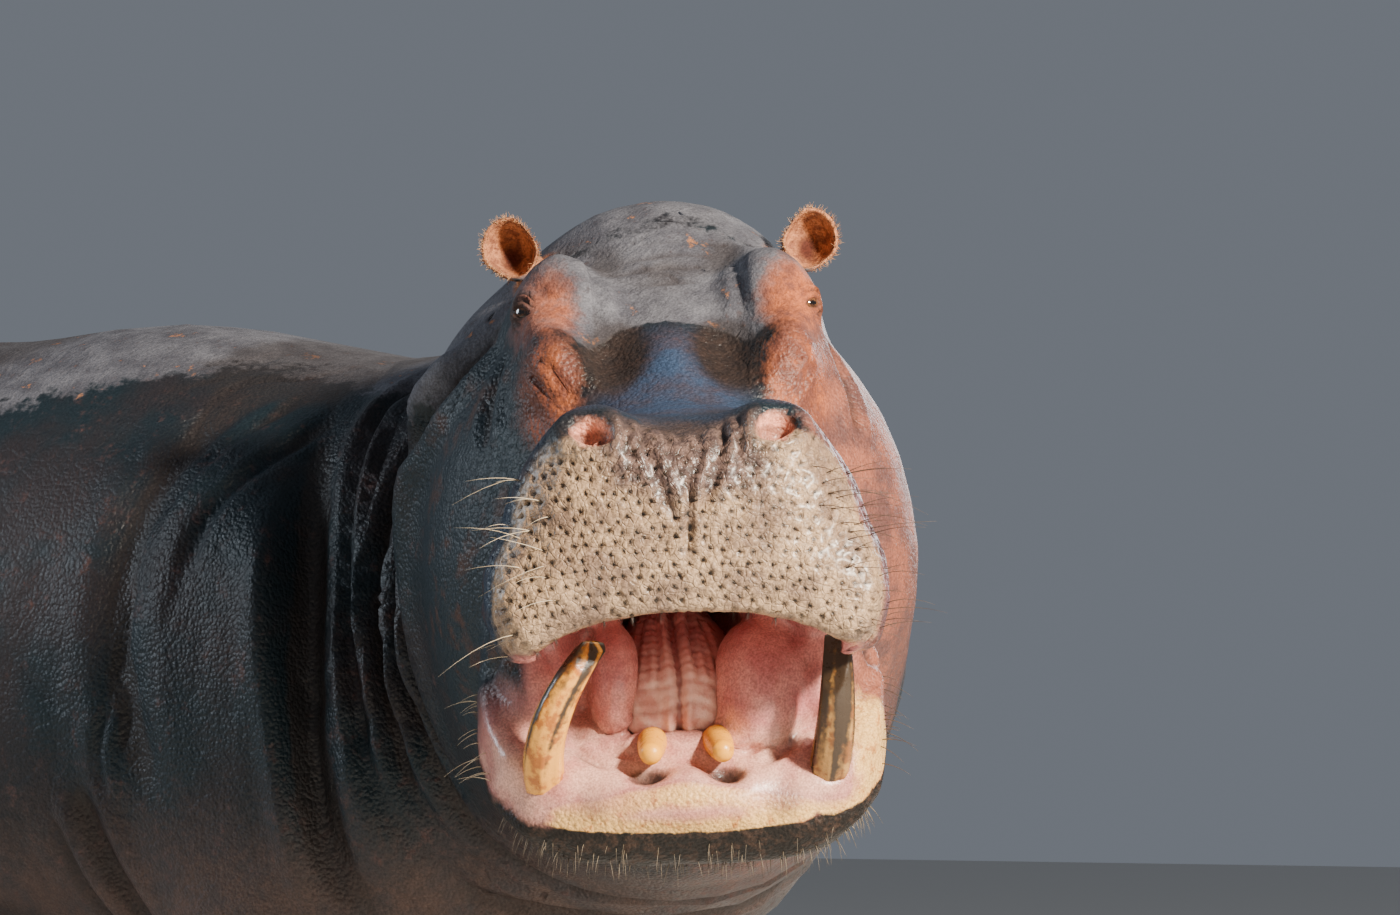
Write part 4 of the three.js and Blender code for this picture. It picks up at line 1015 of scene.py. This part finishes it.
    # Relief: pebbles and a fine grain, long creases on the dry crown; the wet mouth is smooth.
    warp = wire(tree, "ShaderNodeVectorMath", {0: at}, operation="ADD")
    tree.links.new(
        wire(
            tree, "ShaderNodeVectorMath", {0: ragged, 1: (0.006, 0.006, 0.006)}, operation="MULTIPLY"
        ).outputs[0],
        warp.inputs[1],
    )
    pebble = wire(
        tree, "ShaderNodeTexVoronoi", {"Vector": warp.outputs[0], "Scale": 165.0, "Randomness": 0.9},
        feature="F1",
    )
    crack = wire(
        tree, "ShaderNodeTexVoronoi", {"Vector": warp.outputs[0], "Scale": 27.0},
        feature="DISTANCE_TO_EDGE",
    )
    lines = grain_of(tree, at, 120.0, 3.0, 0.6, ((0, 0, 0.873), (0.12, 1.0, 1.0)))
    soft = sum_of(tree, "SUBTRACT", 1.0, mask("mouth"))
    pebbled = step(tree, mask("smoother"), 0.0, 1.0, -0.0016, -0.0006)
    relief = sum_of(tree, "MULTIPLY", pebble.outputs["Distance"], pebbled)
    relief = sum_of(tree, "MULTIPLY_ADD", step(tree, crack.outputs["Distance"], 0.0, 0.1), 0.0004, relief)
    crown = sum_of(tree, "MULTIPLY", lines, 0.0026)
    relief = wire(tree, "ShaderNodeMix", {0: mask("dry"), 2: relief, 3: crown}, data_type="FLOAT").outputs[0]
    relief = sum_of(tree, "MULTIPLY_ADD", seams, -0.0008, sum_of(tree, "MULTIPLY", relief, soft))
    relief = sum_of(tree, "MULTIPLY_ADD", fine, 0.0012, relief)
    height = sum_of(tree, "MULTIPLY_ADD", dust, 0.0005, relief)
    bump = wire(tree, "ShaderNodeBump", {"Height": height, "Strength": 1.0, "Distance": 1.0})
    tree.links.new(bump.outputs[0], shader.inputs["Normal"])

    # The dry skin is dull, the wet skin has a sheen, and the muzzle and the mouth are glossy.
    def gloss_over(name, below, value):
        return wire(tree, "ShaderNodeMix", {0: mask(name), 2: below, 3: value}, data_type="FLOAT").outputs[0]

    gloss = gloss_over("muzzle", 0.45, 0.38)
    gloss = gloss_over("slate", gloss, 0.3)
    gloss = wire(tree, "ShaderNodeMix", {0: patchy, 2: gloss, 3: 0.85}, data_type="FLOAT").outputs[0]
    gloss = gloss_over("snout_wet", gloss, 0.22)
    gloss = gloss_over("mouth", gloss, 0.26)
    gloss = sum_of(tree, "MULTIPLY_ADD", ragged, 0.3, gloss)
    tree.links.new(gloss, shader.inputs["Roughness"])
    moist = sum_of(tree, "MAXIMUM", mask("muzzle"), mask("mouth"))
    tree.links.new(step(tree, moist, 0.0, 1.0, 0.0, 0.45), shader.inputs["Coat Weight"])
    shader.inputs["Coat Roughness"].default_value = 0.3
    shader.inputs["Specular IOR Level"].default_value = 0.22
    return finish


for name, values in zones(skin).items():
    keep_mask(skin, name, values)
skin.materials.clear()
skin.materials.append(hide_finish())
skin.polygons.foreach_set("use_smooth", np.ones(len(skin.polygons), bool))
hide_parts(*FLESH, "ear_left", "ear_right")
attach(hide, "root")

# ---------------------------------------------------------------- the tongue
# The tongue is a narrow column of muscle between the cheeks that flares out behind the front
# teeth. It is wet, pink and velvety, with a groove down its middle and fine furrows across.


def reworked(node, grain, rounds, name):
    """A CAD node's body at an even fine grain, with its facets smoothed away."""
    solid = merged_solid(node)
    mesh = bpy.data.meshes.new(name)
    solid.to_mesh(mesh)
    solid.free()
    piece = place(name, mesh)
    finish_with(piece, "grain", "REMESH", mode="VOXEL", voxel_size=grain)
    finish_with(piece, "even", "SMOOTH", factor=0.5, iterations=rounds)
    return piece


tongue = reworked("tongue", 0.004, 30, "tongue_flesh")
spots, facing = places_of(tongue.data), normals_of(tongue.data)
in_jaw = seen_from(JAW, spots)
lift = np.zeros(len(spots))
flat = in_jaw[:, :2]
upper = (facing @ np.array(JAW.to_3x3()))[:, 2] > -0.2
furrow(
    lift, flat, [(-0.006, -0.47), (-0.004, -0.42), (-0.01, -0.32), (-0.012, -0.1)], 0.007, 0.006, 0.9,
    upper, 0.02,
)
for hand in (-1, 1):
    furrow(
        lift, flat,
        [(hand * 0.03 - 0.004, -0.44), (hand * 0.022 - 0.006, -0.36), (hand * 0.02 - 0.01, -0.2)],
        0.0028, 0.004, 0.9, upper,
    )
    furrow(
        lift, flat,
        [(hand * 0.06 - 0.004, -0.43), (hand * 0.05 - 0.006, -0.37), (hand * 0.036 - 0.008, -0.3)],
        0.0022, 0.0035, 0.9, upper,
    )
    furrow(
        lift, flat, [(hand * 0.085, -0.41), (hand * 0.08, -0.37), (hand * 0.06, -0.33)], 0.003, 0.004,
        0.9, upper,
    )
for k in range(11):
    y = -0.45 + 0.024 * k
    furrow(
        lift, flat, [(-0.075, y + 0.006), (-0.03, y - 0.004), (0.02, y + 0.003), (0.07, y - 0.005)],
        0.0014, 0.003, 0.8, upper,
    )
swell(lift, in_jaw, (-0.09, -0.42, 0.03), (0.02, 0.04, 0.02), 0.008)
swell(lift, in_jaw, (0.02, -0.44, 0.03), (0.03, 0.03, 0.02), 0.005)
spots += facing * lift[:, None]
move_to(tongue.data, spots)
keep_mask(tongue.data, "sunk", np.maximum(-lift, 0))
# The tongue's front is painted pale as in sunlight, and its back darker maroon as the upper lip's painted
# shadow.
keep_mask(tongue.data, "front", ramp(-in_jaw[:, 1], 0.34, 0.45))


def wet_flesh_finish():
    finish, tree, shader, at = new_finish("tongue")
    # Painted light and shadow: darker maroon behind, pale pink at the front.
    colour = mottled(tree, (0.4, 0.15, 0.135), (0.28, 0.09, 0.088), 13.0, 0.5, 0.25)
    front = wire(tree, "ShaderNodeAttribute", attribute_name="front").outputs["Fac"]
    colour = mixed(tree, front, colour, mottled(tree, (0.74, 0.46, 0.38), (0.6, 0.3, 0.25), 20.0, 0.5, 0.25))
    # Painted shade in the tongue's furrows.
    sunk = wire(tree, "ShaderNodeAttribute", attribute_name="sunk").outputs["Fac"]
    colour = mixed(tree, step(tree, sunk, 0.0003, 0.004, 0.0, 0.7), colour, (0.2, 0.05, 0.05))
    tree.links.new(colour, shader.inputs["Base Color"])
    nap = grain_of(tree, at, 260.0, 3.0, 0.6)
    folds = grain_of(tree, at, 60.0, 3.0, 0.5)
    height = sum_of(tree, "MULTIPLY_ADD", nap, 0.0007, sum_of(tree, "MULTIPLY", folds, 0.0012))
    bump = wire(tree, "ShaderNodeBump", {"Height": height, "Distance": 1.0})
    tree.links.new(bump.outputs[0], shader.inputs["Normal"])
    tree.links.new(step(tree, folds, 0.3, 0.7, 0.2, 0.42), shader.inputs["Roughness"])
    shader.inputs["Subsurface Weight"].default_value = 0.15
    shader.inputs["Subsurface Radius"].default_value = (0.02, 0.006, 0.004)
    return finish


tongue.data.materials.append(wet_flesh_finish())
tongue.data.polygons.foreach_set("use_smooth", np.ones(len(tongue.data.polygons), bool))
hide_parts("tongue")
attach(tongue, "root")

# ---------------------------------------------------------------- tusks and front teeth
# The lower canines are curved ivory with long ridges. They are stained golden brown at the
# root, and the upper canines have ground a long flat facet into the back of each tip. The
# front teeth are short yellow pegs with rounded ends.


def swept(name, runs, sides):
    """Closed rods along paths: each run is a list of places with their radii."""
    path = bpy.data.curves.new(name, "CURVE")
    path.dimensions = "3D"
    path.bevel_depth = 1
    path.bevel_resolution = (sides - 4) // 2
    path.use_fill_caps = True
    for run in runs:
        spline = path.splines.new("POLY")
        spline.points.add(len(run) - 1)
        for point, (spot, radius) in zip(spline.points, run):
            point.co = (*spot, 1)
            point.radius = radius
    holder = bpy.data.objects.new(name, path)
    mesh = bpy.data.meshes.new_from_object(holder)
    bpy.data.objects.remove(holder)
    mesh.name = name
    solid = bmesh.new()
    solid.from_mesh(mesh)
    bmesh.ops.remove_doubles(solid, verts=solid.verts, dist=1e-7)
    bmesh.ops.recalc_face_normals(solid, faces=solid.faces)
    solid.to_mesh(mesh)
    solid.free()
    mesh.polygons.foreach_set("use_smooth", np.ones(len(mesh.polygons), bool))
    return mesh


def bent(start, middle, end, steps, widest, thinner, dome=6, rise=0.75):
    """A run along a quadratic curve, with a domed tip, for a tooth."""
    start, middle, end = Vector(start), Vector(middle), Vector(end)
    run = []
    for t in np.linspace(0, 1, steps):
        run.append(((1 - t) ** 2 * start + 2 * t * (1 - t) * middle + t * t * end, widest - thinner * t * t))
    heading = (end - middle).normalized()
    tip = widest - thinner
    for k in range(1, dome + 1):
        angle = k / dome * math.radians(86)
        run.append((end + heading * tip * rise * math.sin(angle), tip * math.cos(angle)))
    return run


def in_row(pose, mesh):
    mesh.transform(pose)
    return mesh


def ivory_finish(name, golden, dark, darkness, blotches=0.45):
    finish, tree, shader, at = new_finish(name)
    colour = mottled(
        tree, golden, (golden[0] * 0.55, golden[1] * 0.38, golden[2] * 0.3), 28.0, blotches, 0.3
    )
    height = wire(tree, "ShaderNodeAttribute", attribute_name="height").outputs["Fac"]
    streak = wire(tree, "ShaderNodeAttribute", attribute_name="streak").outputs["Fac"]
    fine = grain_of(tree, at, 90.0, 4.0, 0.6)
    stain = sum_of(tree, "MULTIPLY_ADD", fine, 0.6, sum_of(tree, "ADD", height, streak))
    colour = mixed(tree, step(tree, stain, darkness, darkness + 0.35), colour, dark)
    tree.links.new(colour, shader.inputs["Base Color"])
    bump = wire(tree, "ShaderNodeBump", {"Height": sum_of(tree, "MULTIPLY", fine, 0.0008), "Distance": 1.0})
    tree.links.new(bump.outputs[0], shader.inputs["Normal"])
    tree.links.new(step(tree, fine, 0.3, 0.7, 0.22, 0.45), shader.inputs["Roughness"])
    return finish


TUSKS = {
    # tip, how golden the ivory is, how soon the dark stain begins
    "right": ((-0.118, -0.478, 0.155), (0.75, 0.34, 0.05), 0.82),
    "left": ((0.2, -0.478, 0.155), (0.42, 0.22, 0.06), 0.52),
}
for hand, (tip, golden, darkness) in TUSKS.items():
    sign = 1 if hand == "left" else -1
    root, belly = (sign * 0.186, -0.535, -0.03), (sign * 0.2, -0.545, 0.08)
    mesh = swept("tusk_%s_ivory" % hand, [bent(root, belly, tip, 40, 0.0265, 0.0095)], 44)
    spots = places_of(mesh)
    t = np.clip((spots[:, 2] + 0.03) / 0.185, 0, 1)
    bends = [Vector(root).lerp(Vector(belly), k).lerp(Vector(belly).lerp(Vector(tip), k), k) for k in t]
    axis = np.array([np.array(bend) for bend in bends])
    out = spots - axis
    round_at = np.arctan2(out[:, 1], out[:, 0])
    # Long ridges, three flattened flanks, and the ground facet that makes the tip a chisel.
    ridges = (
        0.03 * np.sin(7 * round_at + 0.7) + 0.018 * np.sin(15 * round_at + 2)
        + 0.035 * np.cos(3 * round_at + 1.1)
    )
    spots = axis + out * (1 + ridges * (1 - 0.6 * t**4))[:, None]
    ground = np.array((sign * -0.35, -0.62, 0.7))
    ground /= np.linalg.norm(ground)
    level = (np.array(tip) + ground * 0.004) @ ground
    over = np.maximum(spots @ ground - level, 0) * (t > 0.5)
    spots -= ground * over[:, None]
    back = np.array((sign * 0.1, 0.93, 0.35))
    back /= np.linalg.norm(back)
    level = (np.array(tip) + back * 0.002) @ back
    over = np.maximum(spots @ back - level, 0) * (t > 0.4)
    spots -= back * over[:, None]
    move_to(mesh, spots)
    keep_mask(mesh, "height", t * 0.55)
    keep_mask(mesh, "streak", 0.25 + 0.22 * np.sin(5 * round_at + 2.2) + 0.12 * np.sin(11 * round_at))
    tusk = place(
        "tusk_%s_ivory" % hand, in_row(JAW, mesh),
        ivory_finish("ivory_" + hand, golden, (0.035, 0.02, 0.01), darkness),
    )
    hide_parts("tusk_" + hand)
    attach(tusk, "root")

for hand in (-1, 1):
    name = "incisor_left" if hand > 0 else "incisor_right"
    run = bent(
        (hand * 0.042, -0.482, -0.008), (hand * 0.045, -0.512, 0.006), (hand * 0.047, -0.542, 0.022),
        16, 0.0195, 0.0045, 9, 0.95,
    )
    mesh = swept(name + "_peg", [run], 36)
    spots = places_of(mesh)
    keep_mask(mesh, "height", 0.3 - (spots[:, 1] + 0.565) * 3)
    keep_mask(mesh, "streak", 0.12 + 0.1 * np.sin(60 * spots[:, 0]))
    peg = place(
        name + "_peg", in_row(JAW, mesh),
        ivory_finish(name, (0.76, 0.33, 0.012), (0.36, 0.14, 0.02), 0.7, 0.1),
    )
    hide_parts(name)
    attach(peg, "root")

# ---------------------------------------------------------------- eyes
# Each eye is one wet ball: a brown iris with a dark slit across it, in a dark rim, and a thin
# pale line of white at its edge. The lids of the hide hold it.
for hand in (-1, 1):
    name = "eye_left" if hand > 0 else "eye_right"
    ball = bmesh.new()
    bmesh.ops.create_uvsphere(ball, u_segments=48, v_segments=32, radius=EYEBALL - 0.0004)
    for vert in ball.verts:  # the cornea stands a little proud, about the ball's own z axis
        lean = math.acos(max(-1, min(1, vert.co.z / EYEBALL)))
        vert.co *= 1 + 0.035 * math.exp(-((lean / 0.42) ** 2))
    gaze = Vector((hand * 0.58, -0.8, 0.14)).normalized()
    aim = gaze.to_track_quat("Z", "Y").to_matrix().to_4x4()
    mesh = bpy.data.meshes.new(name + "_ball")
    ball.to_mesh(mesh)
    ball.free()
    local = places_of(mesh)
    turn = np.array(aim.to_3x3())
    faced = local @ turn.T  # in the head's axes
    level = faced @ np.array(Vector((0, 0, 1)).cross(gaze).normalized())
    lean = np.arccos(np.clip(local[:, 2] / np.linalg.norm(local, axis=1), -1, 1))
    upright = np.array(gaze.cross(Vector((0, 0, 1)).cross(gaze)).normalized())
    keep_mask(mesh, "iris", 1 - ramp(lean, 0.42, 0.47))
    keep_mask(mesh, "pupil", 1 - ramp((level / 0.0062) ** 2 + (faced @ upright / 0.0034) ** 2, 0.7, 1.2))
    here = Matrix.Translation((hand * EYE_IN_HEAD.x, EYE_IN_HEAD.y, EYE_IN_HEAD.z))
    finish, tree, shader, at = new_finish(name)
    iris = wire(tree, "ShaderNodeAttribute", attribute_name="iris").outputs["Fac"]
    pupil = wire(tree, "ShaderNodeAttribute", attribute_name="pupil").outputs["Fac"]
    brown = mottled(tree, (0.12, 0.05, 0.02), (0.05, 0.02, 0.01), 180.0, 0.5, 0.4)
    colour = mixed(tree, iris, mottled(tree, (0.2, 0.12, 0.1), (0.1, 0.04, 0.03), 120.0, 0.5, 0.3), brown)
    tree.links.new(mixed(tree, pupil, colour, (0.004, 0.003, 0.003)), shader.inputs["Base Color"])
    shader.inputs["Roughness"].default_value = 0.08
    shader.inputs["Coat Weight"].default_value = 1.0
    shader.inputs["Coat Roughness"].default_value = 0.03
    mesh.polygons.foreach_set("use_smooth", np.ones(len(mesh.polygons), bool))
    eye = place(name + "_ball", in_row(HEAD @ here @ aim, mesh), finish)
    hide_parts(name)
    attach(eye, "root")

# ---------------------------------------------------------------- toenails
# Four short blunt hooves of grey-brown horn on each foot, worn and stained by mud, with fine
# growth rings. Each is a rounded block bedded in its toe, wider than deep.
finish, tree, shader, at = new_finish("nail_horn")
horn = mottled(tree, (0.13, 0.1, 0.075), (0.06, 0.045, 0.035), 30.0, 0.5, 0.4)
rings = grain_of(tree, at, 60.0, 3.0, 0.6, ((0, 0, 0), (1.0, 1.0, 6.0)))
tree.links.new(
    mixed(tree, step(tree, rings, 0.5, 0.62, 0.0, 0.6), horn, (0.25, 0.2, 0.15)),
    shader.inputs["Base Color"],
)
bump = wire(tree, "ShaderNodeBump", {"Height": sum_of(tree, "MULTIPLY", rings, 0.0015), "Distance": 1.0})
tree.links.new(bump.outputs[0], shader.inputs["Normal"])
tree.links.new(step(tree, rings, 0.3, 0.7, 0.4, 0.65), shader.inputs["Roughness"])
nail_horn = finish
NAIL_WIDE, NAIL_DEEP, NAIL_HIGH = 0.027, 0.021, 0.026  # from its middle to its sides
for foot in ("fore_left", "fore_right", "hind_left", "hind_right"):
    sole = middle(foot.replace("_", "foot_"))
    for number in range(1, 5):
        node = "toenail_%s_%d" % (foot, number)
        block = bmesh.new()
        bmesh.ops.create_uvsphere(block, u_segments=32, v_segments=20, radius=1)
        heart = middle(node)
        outward = Vector((heart.x - sole.x, heart.y - sole.y, 0)).normalized()
        across = Vector((-outward.y, outward.x, 0))
        for vert in block.verts:  # a ball pushed out towards a block that leans back at its top
            x, y, z = (math.copysign(abs(part) ** 0.6, part) for part in vert.co)
            spread = 1 - 0.2 * z
            spot = across * (x * NAIL_WIDE * spread) + outward * ((y - 0.35 * z) * NAIL_DEEP - 0.007)
            high = max(0.001, heart.z - 0.006 + z * NAIL_HIGH)
            vert.co = Vector((heart.x + spot.x, heart.y + spot.y, high))
        mesh = bpy.data.meshes.new(node + "_horn")
        block.to_mesh(mesh)
        block.free()
        mesh.polygons.foreach_set("use_smooth", np.ones(len(mesh.polygons), bool))
        nail = place(node + "_horn", mesh, nail_horn)
        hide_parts(node)
        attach(nail, "root")


# ---------------------------------------------------------------- whiskers and bristles
# A hippo is nearly bald. Long curved whiskers stand out of the muzzle's sides, short bristles
# cover the chin, a soft fringe edges the ears and wiry bristles comb the end of the tail.
STEPS = 5  # rings along a hair


def hair_run(root, heading, length, thick, droop=(0, 0, 0), curl=0.0):
    """A hair from its root in the skin, bending towards its droop."""
    heading, droop = Vector(heading).normalized(), Vector(droop)
    sideways = heading.cross(Vector((0, 0, 1))).normalized() * curl
    run = []
    for k in range(STEPS + 1):
        t = k / STEPS
        spot = Vector(root) + heading * length * (t - 0.02) + (droop + sideways) * length * t * t
        run.append((spot, thick * (1 - 0.85 * t)))
    return run


spots_in_head, spots_in_jaw = seen_from(HEAD, full_spots), seen_from(JAW, full_spots)


def strands(name, runs, colour, tip, roughness=0.5):
    """One piece of many hairs. Each keeps a small patch of its own on the bake map."""
    mesh = swept(name, runs, 4)
    per_hair = len(mesh.vertices) // len(runs)
    if per_hair * len(runs) != len(mesh.vertices):
        raise ValueError("the hairs of %s are not alike" % name)
    roots = along_spine(np.array([tuple(run[0][0]) for run in runs]))
    patch = np.stack(((roots[:, 0] + 1.6) / 4.2 * 0.48 + 0.5 * (roots[:, 1] > 0), roots[:, 2] / 1.8), axis=1)
    verts = np.empty(len(mesh.loops), int)
    mesh.loops.foreach_get("vertex_index", verts)
    owner, step_of = verts // per_hair, verts % per_hair // 4
    across = verts % 4
    inside = np.stack((across / 3 * 0.003, np.minimum(step_of, STEPS) / STEPS * 0.003), axis=1)
    layer = mesh.uv_layers.new(name="OFBake")
    layer.data.foreach_set("uv", np.clip(patch[owner] + inside, 0, 1).astype(np.float32).ravel())
    along = np.arange(len(mesh.vertices)) % per_hair // 4 / STEPS
    keep_mask(mesh, "along", along)
    finish, tree, shader, at = new_finish(name)
    along = wire(tree, "ShaderNodeAttribute", attribute_name="along").outputs["Fac"]
    tree.links.new(mixed(tree, along, colour + (1,), tip + (1,)), shader.inputs["Base Color"])
    shader.inputs["Roughness"].default_value = roughness
    piece = place(name, mesh, finish)
    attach(piece, "root")
    return piece


def nearest(at, spot):
    return int(np.argmin(((at - np.array(spot)) ** 2).sum(axis=1)))


turned_head = HEAD.to_3x3()
draw = np.random.default_rng(21)
pale, dark = [], []
for hand, count in ((-1, 24), (1, 40)):
    for k in range(count):
        high = 1.035 + 0.21 * (k + 0.5) / count + draw.normal(0, 0.006)
        spot = nearest(
            spots_in_head,
            (
                hand * (0.235 + draw.uniform(-0.05, 0.015) - 0.25 * (high - 1.03)),
                draw.uniform(0.03, 0.12), high,
            ),
        )
        heading = turned_head @ Vector((hand * 1.0, -0.5 + draw.normal(0, 0.2), 0.25 + draw.normal(0, 0.2)))
        droop = turned_head @ Vector((0.12 * hand, 0.15, -0.3 + draw.normal(0, 0.12)))
        hair = hair_run(
            full_spots[spot], heading, draw.uniform(0.035, 0.1), 0.0007, droop, draw.normal(0, 0.25)
        )
        (pale if hand < 0 else dark).append(hair)
for k in range(16):
    spot = nearest(spots_in_jaw, (0.262, -0.5 + 0.02 * k * 0.6, draw.uniform(-0.08, -0.02)))
    heading = turned_head @ Vector((1.0, -0.25, draw.normal(-0.1, 0.25)))
    droop = turned_head @ Vector((0, 0, -0.3))
    dark.append(hair_run(full_spots[spot], heading, draw.uniform(0.02, 0.05), 0.0007, droop, 0.1))
    spot = nearest(spots_in_jaw, (-0.262, -0.5 + 0.02 * k * 0.6, draw.uniform(-0.08, -0.02)))
    heading = turned_head @ Vector((-1.0, -0.25, draw.normal(-0.1, 0.25)))
    droop = turned_head @ Vector((0, 0, -0.35))
    pale.append(hair_run(full_spots[spot], heading, draw.uniform(0.02, 0.05), 0.0007, droop, 0.1))
strands("whiskers_pale", pale, (0.4, 0.31, 0.2), (0.62, 0.52, 0.38))
strands("whiskers_dark", dark, (0.05, 0.03, 0.022), (0.09, 0.06, 0.04))

# Short stubble: one or two hairs out of each follicle of the upper lip, and all over the chin.
stubble = []
lip = np.flatnonzero(
    (spots_in_head[:, 1] < 0.12) & (spots_in_head[:, 2] > 1.02) & (spots_in_head[:, 2] < 1.26)
    & (np.abs(spots_in_head[:, 0]) > 0.03)
)
wanted = np.zeros(len(full_spots), bool)
wanted[lip] = True
lip = lip[pit_gap(spots_in_head, wanted)[lip] < 0.0016]
for spot in draw.choice(lip, min(420, len(lip)), replace=False):
    normal = Vector(full_normals[spot])
    heading = normal + Vector(draw.normal(0, 0.3, 3))
    length = draw.uniform(0.005, 0.011)
    stubble.append(hair_run(full_spots[spot], heading, length, 0.00045, (0, 0, -0.5)))
strands("lip_stubble", stubble, (0.03, 0.02, 0.015), (0.06, 0.04, 0.03))
chin = np.flatnonzero(
    (spots_in_jaw[:, 2] < -0.075) & (spots_in_jaw[:, 1] < -0.4) & (np.abs(spots_in_jaw[:, 0]) < 0.24)
)
beard = []
for spot in draw.choice(chin, 420, replace=False):
    normal = Vector(full_normals[spot])
    heading = normal + Vector(draw.normal(0, 0.25, 3)) + Vector((0, 0, -0.5))
    length = draw.uniform(0.01, 0.024)
    beard.append(hair_run(full_spots[spot], heading, length, 0.0006, (0, 0, -0.4)))
strands("chin_bristles", beard, (0.04, 0.03, 0.02), (0.17, 0.13, 0.085))

# The ears' fringe grows out of the rolled rim.
fringe = []
for hand in (-1, 1):
    tilt = Matrix.Rotation(math.radians(hand * 14), 4, "Y") @ Matrix.Rotation(math.radians(-8), 4, "X")
    ear_pose = HEAD @ Matrix.Translation((hand * EAR_AT.x, EAR_AT.y, EAR_AT.z)) @ tilt
    local = seen_from(ear_pose, full_spots)
    rim = np.flatnonzero(
        (local[:, 1] < -0.012) & (np.hypot(local[:, 0] / EAR_WIDE, local[:, 2] / EAR_HIGH) < 1.15)
        & (local[:, 2] > -0.04)
    )
    axes = ear_pose.to_3x3()
    for spot in draw.choice(rim, 520, replace=False):
        x, y, z = local[spot]
        out = Vector((x, 0, z)).normalized()
        heading = axes @ (
            out * draw.uniform(0.3, 1.2) + Vector((0, -0.7, 0)) + Vector(draw.normal(0, 0.25, 3))
        )
        length = draw.uniform(0.006, 0.015)
        fringe.append(hair_run(full_spots[spot], heading, length, 0.0004, axes @ (out * -0.3)))
strands("ear_fringe", fringe, (0.35, 0.15, 0.07), (0.62, 0.4, 0.22))

# The tail's bristles stand in two combs at its flattened end.
tail_low, tail_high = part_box("tail")
comb = []
across = np.abs(full_spots[:, 0] - (tail_low.x + tail_high.x) / 2) < (tail_high.x - tail_low.x) / 2 + 0.004
tail = np.flatnonzero(
    across & (full_spots[:, 2] < tail_low.z + 0.16) & (full_spots[:, 1] > tail_high.y - 0.09)
)
for spot in draw.choice(tail, 220, replace=False):
    normal = Vector(full_normals[spot])
    heading = normal * 0.35 + Vector((0, 0.0, -1)) + Vector(draw.normal(0, 0.15, 3))
    length = draw.uniform(0.03, 0.06)
    comb.append(hair_run(full_spots[spot], heading, length, 0.0009, (0, 0, -0.1)))
strands("tail_bristles", comb, (0.02, 0.016, 0.014), (0.05, 0.04, 0.035))

# ---------------------------------------------------------------- floor, light and camera
# A plain pale studio floor. A large soft lamp stands high to the right of the camera, a cool one
# behind the animal picks out its back, a weak one fills its left side, and a little blue light
# comes from all round.
floor_mesh = bpy.data.meshes.new("floor")
sweep = bmesh.new()
bmesh.ops.create_grid(sweep, x_segments=1, y_segments=1, size=30)
sweep.to_mesh(floor_mesh)
floor = place("floor", floor_mesh)
paint = bpy.data.materials.new("floor_paint")
paint.use_nodes = True
paint.node_tree.nodes["Principled BSDF"].inputs["Base Color"].default_value = (0.62, 0.6, 0.56, 1)
paint.node_tree.nodes["Principled BSDF"].inputs["Roughness"].default_value = 0.8
floor_mesh.materials.append(paint)

CAMERA_BACK = 10.0
CAMERA_HEIGHT = 0.95
CAMERA_ASIDE = 0.0167
YAW = math.radians(52.2)
PITCH = math.radians(1.8225)
level = Vector((math.sin(YAW), math.cos(YAW), 0))
ahead = level * math.cos(PITCH) + Vector((0, 0, math.sin(PITCH)))
side = Vector((level.y, -level.x, 0))
muzzle = HEAD @ Vector((0, 0, 1.2))
lens = bpy.data.cameras.new("camera")
lens.sensor_width = 36
lens.lens = 200
lens.clip_end = 200
camera = bpy.data.objects.new("camera", lens)
bpy.context.scene.collection.objects.link(camera)
camera.location = Vector((muzzle.x, muzzle.y, CAMERA_HEIGHT)) - level * CAMERA_BACK + side * CAMERA_ASIDE
camera.rotation_euler = ahead.to_track_quat("-Z", "Y").to_euler()
bpy.context.scene.camera = camera

world = bpy.data.worlds.new("studio")
bpy.context.scene.world = world
world.use_nodes = True
world.node_tree.nodes["Background"].inputs["Color"].default_value = (0.78, 0.86, 1.0, 1)
world.node_tree.nodes["Background"].inputs["Strength"].default_value = 0.2


def softbox(name, at, aim, size, power, tint):
    light = bpy.data.lights.new(name, "AREA")
    light.shape = "DISK"
    light.size = size
    light.energy = power
    light.color = tint
    lamp = bpy.data.objects.new(name, light)
    bpy.context.scene.collection.objects.link(lamp)
    lamp.location = at
    lamp.rotation_euler = (Vector(aim) - Vector(at)).to_track_quat("-Z", "Y").to_euler()


head_middle = HEAD @ Vector((0, 0.3, 1.2))
softbox(
    "key", head_middle - level * 4.6 + side * 4.4 + Vector((0, 0, 3.0)), head_middle, 0.8, 2150,
    (1, 0.9, 0.76),
)
softbox("rim", Vector((-3.2, 4.6, 3.4)), (0, 0.4, 1), 2.6, 230, (0.8, 0.9, 1))
softbox("fill", Vector((4.8, 0.6, 2.6)), (0, 0, 0.9), 2.6, 130, (0.95, 0.97, 1))
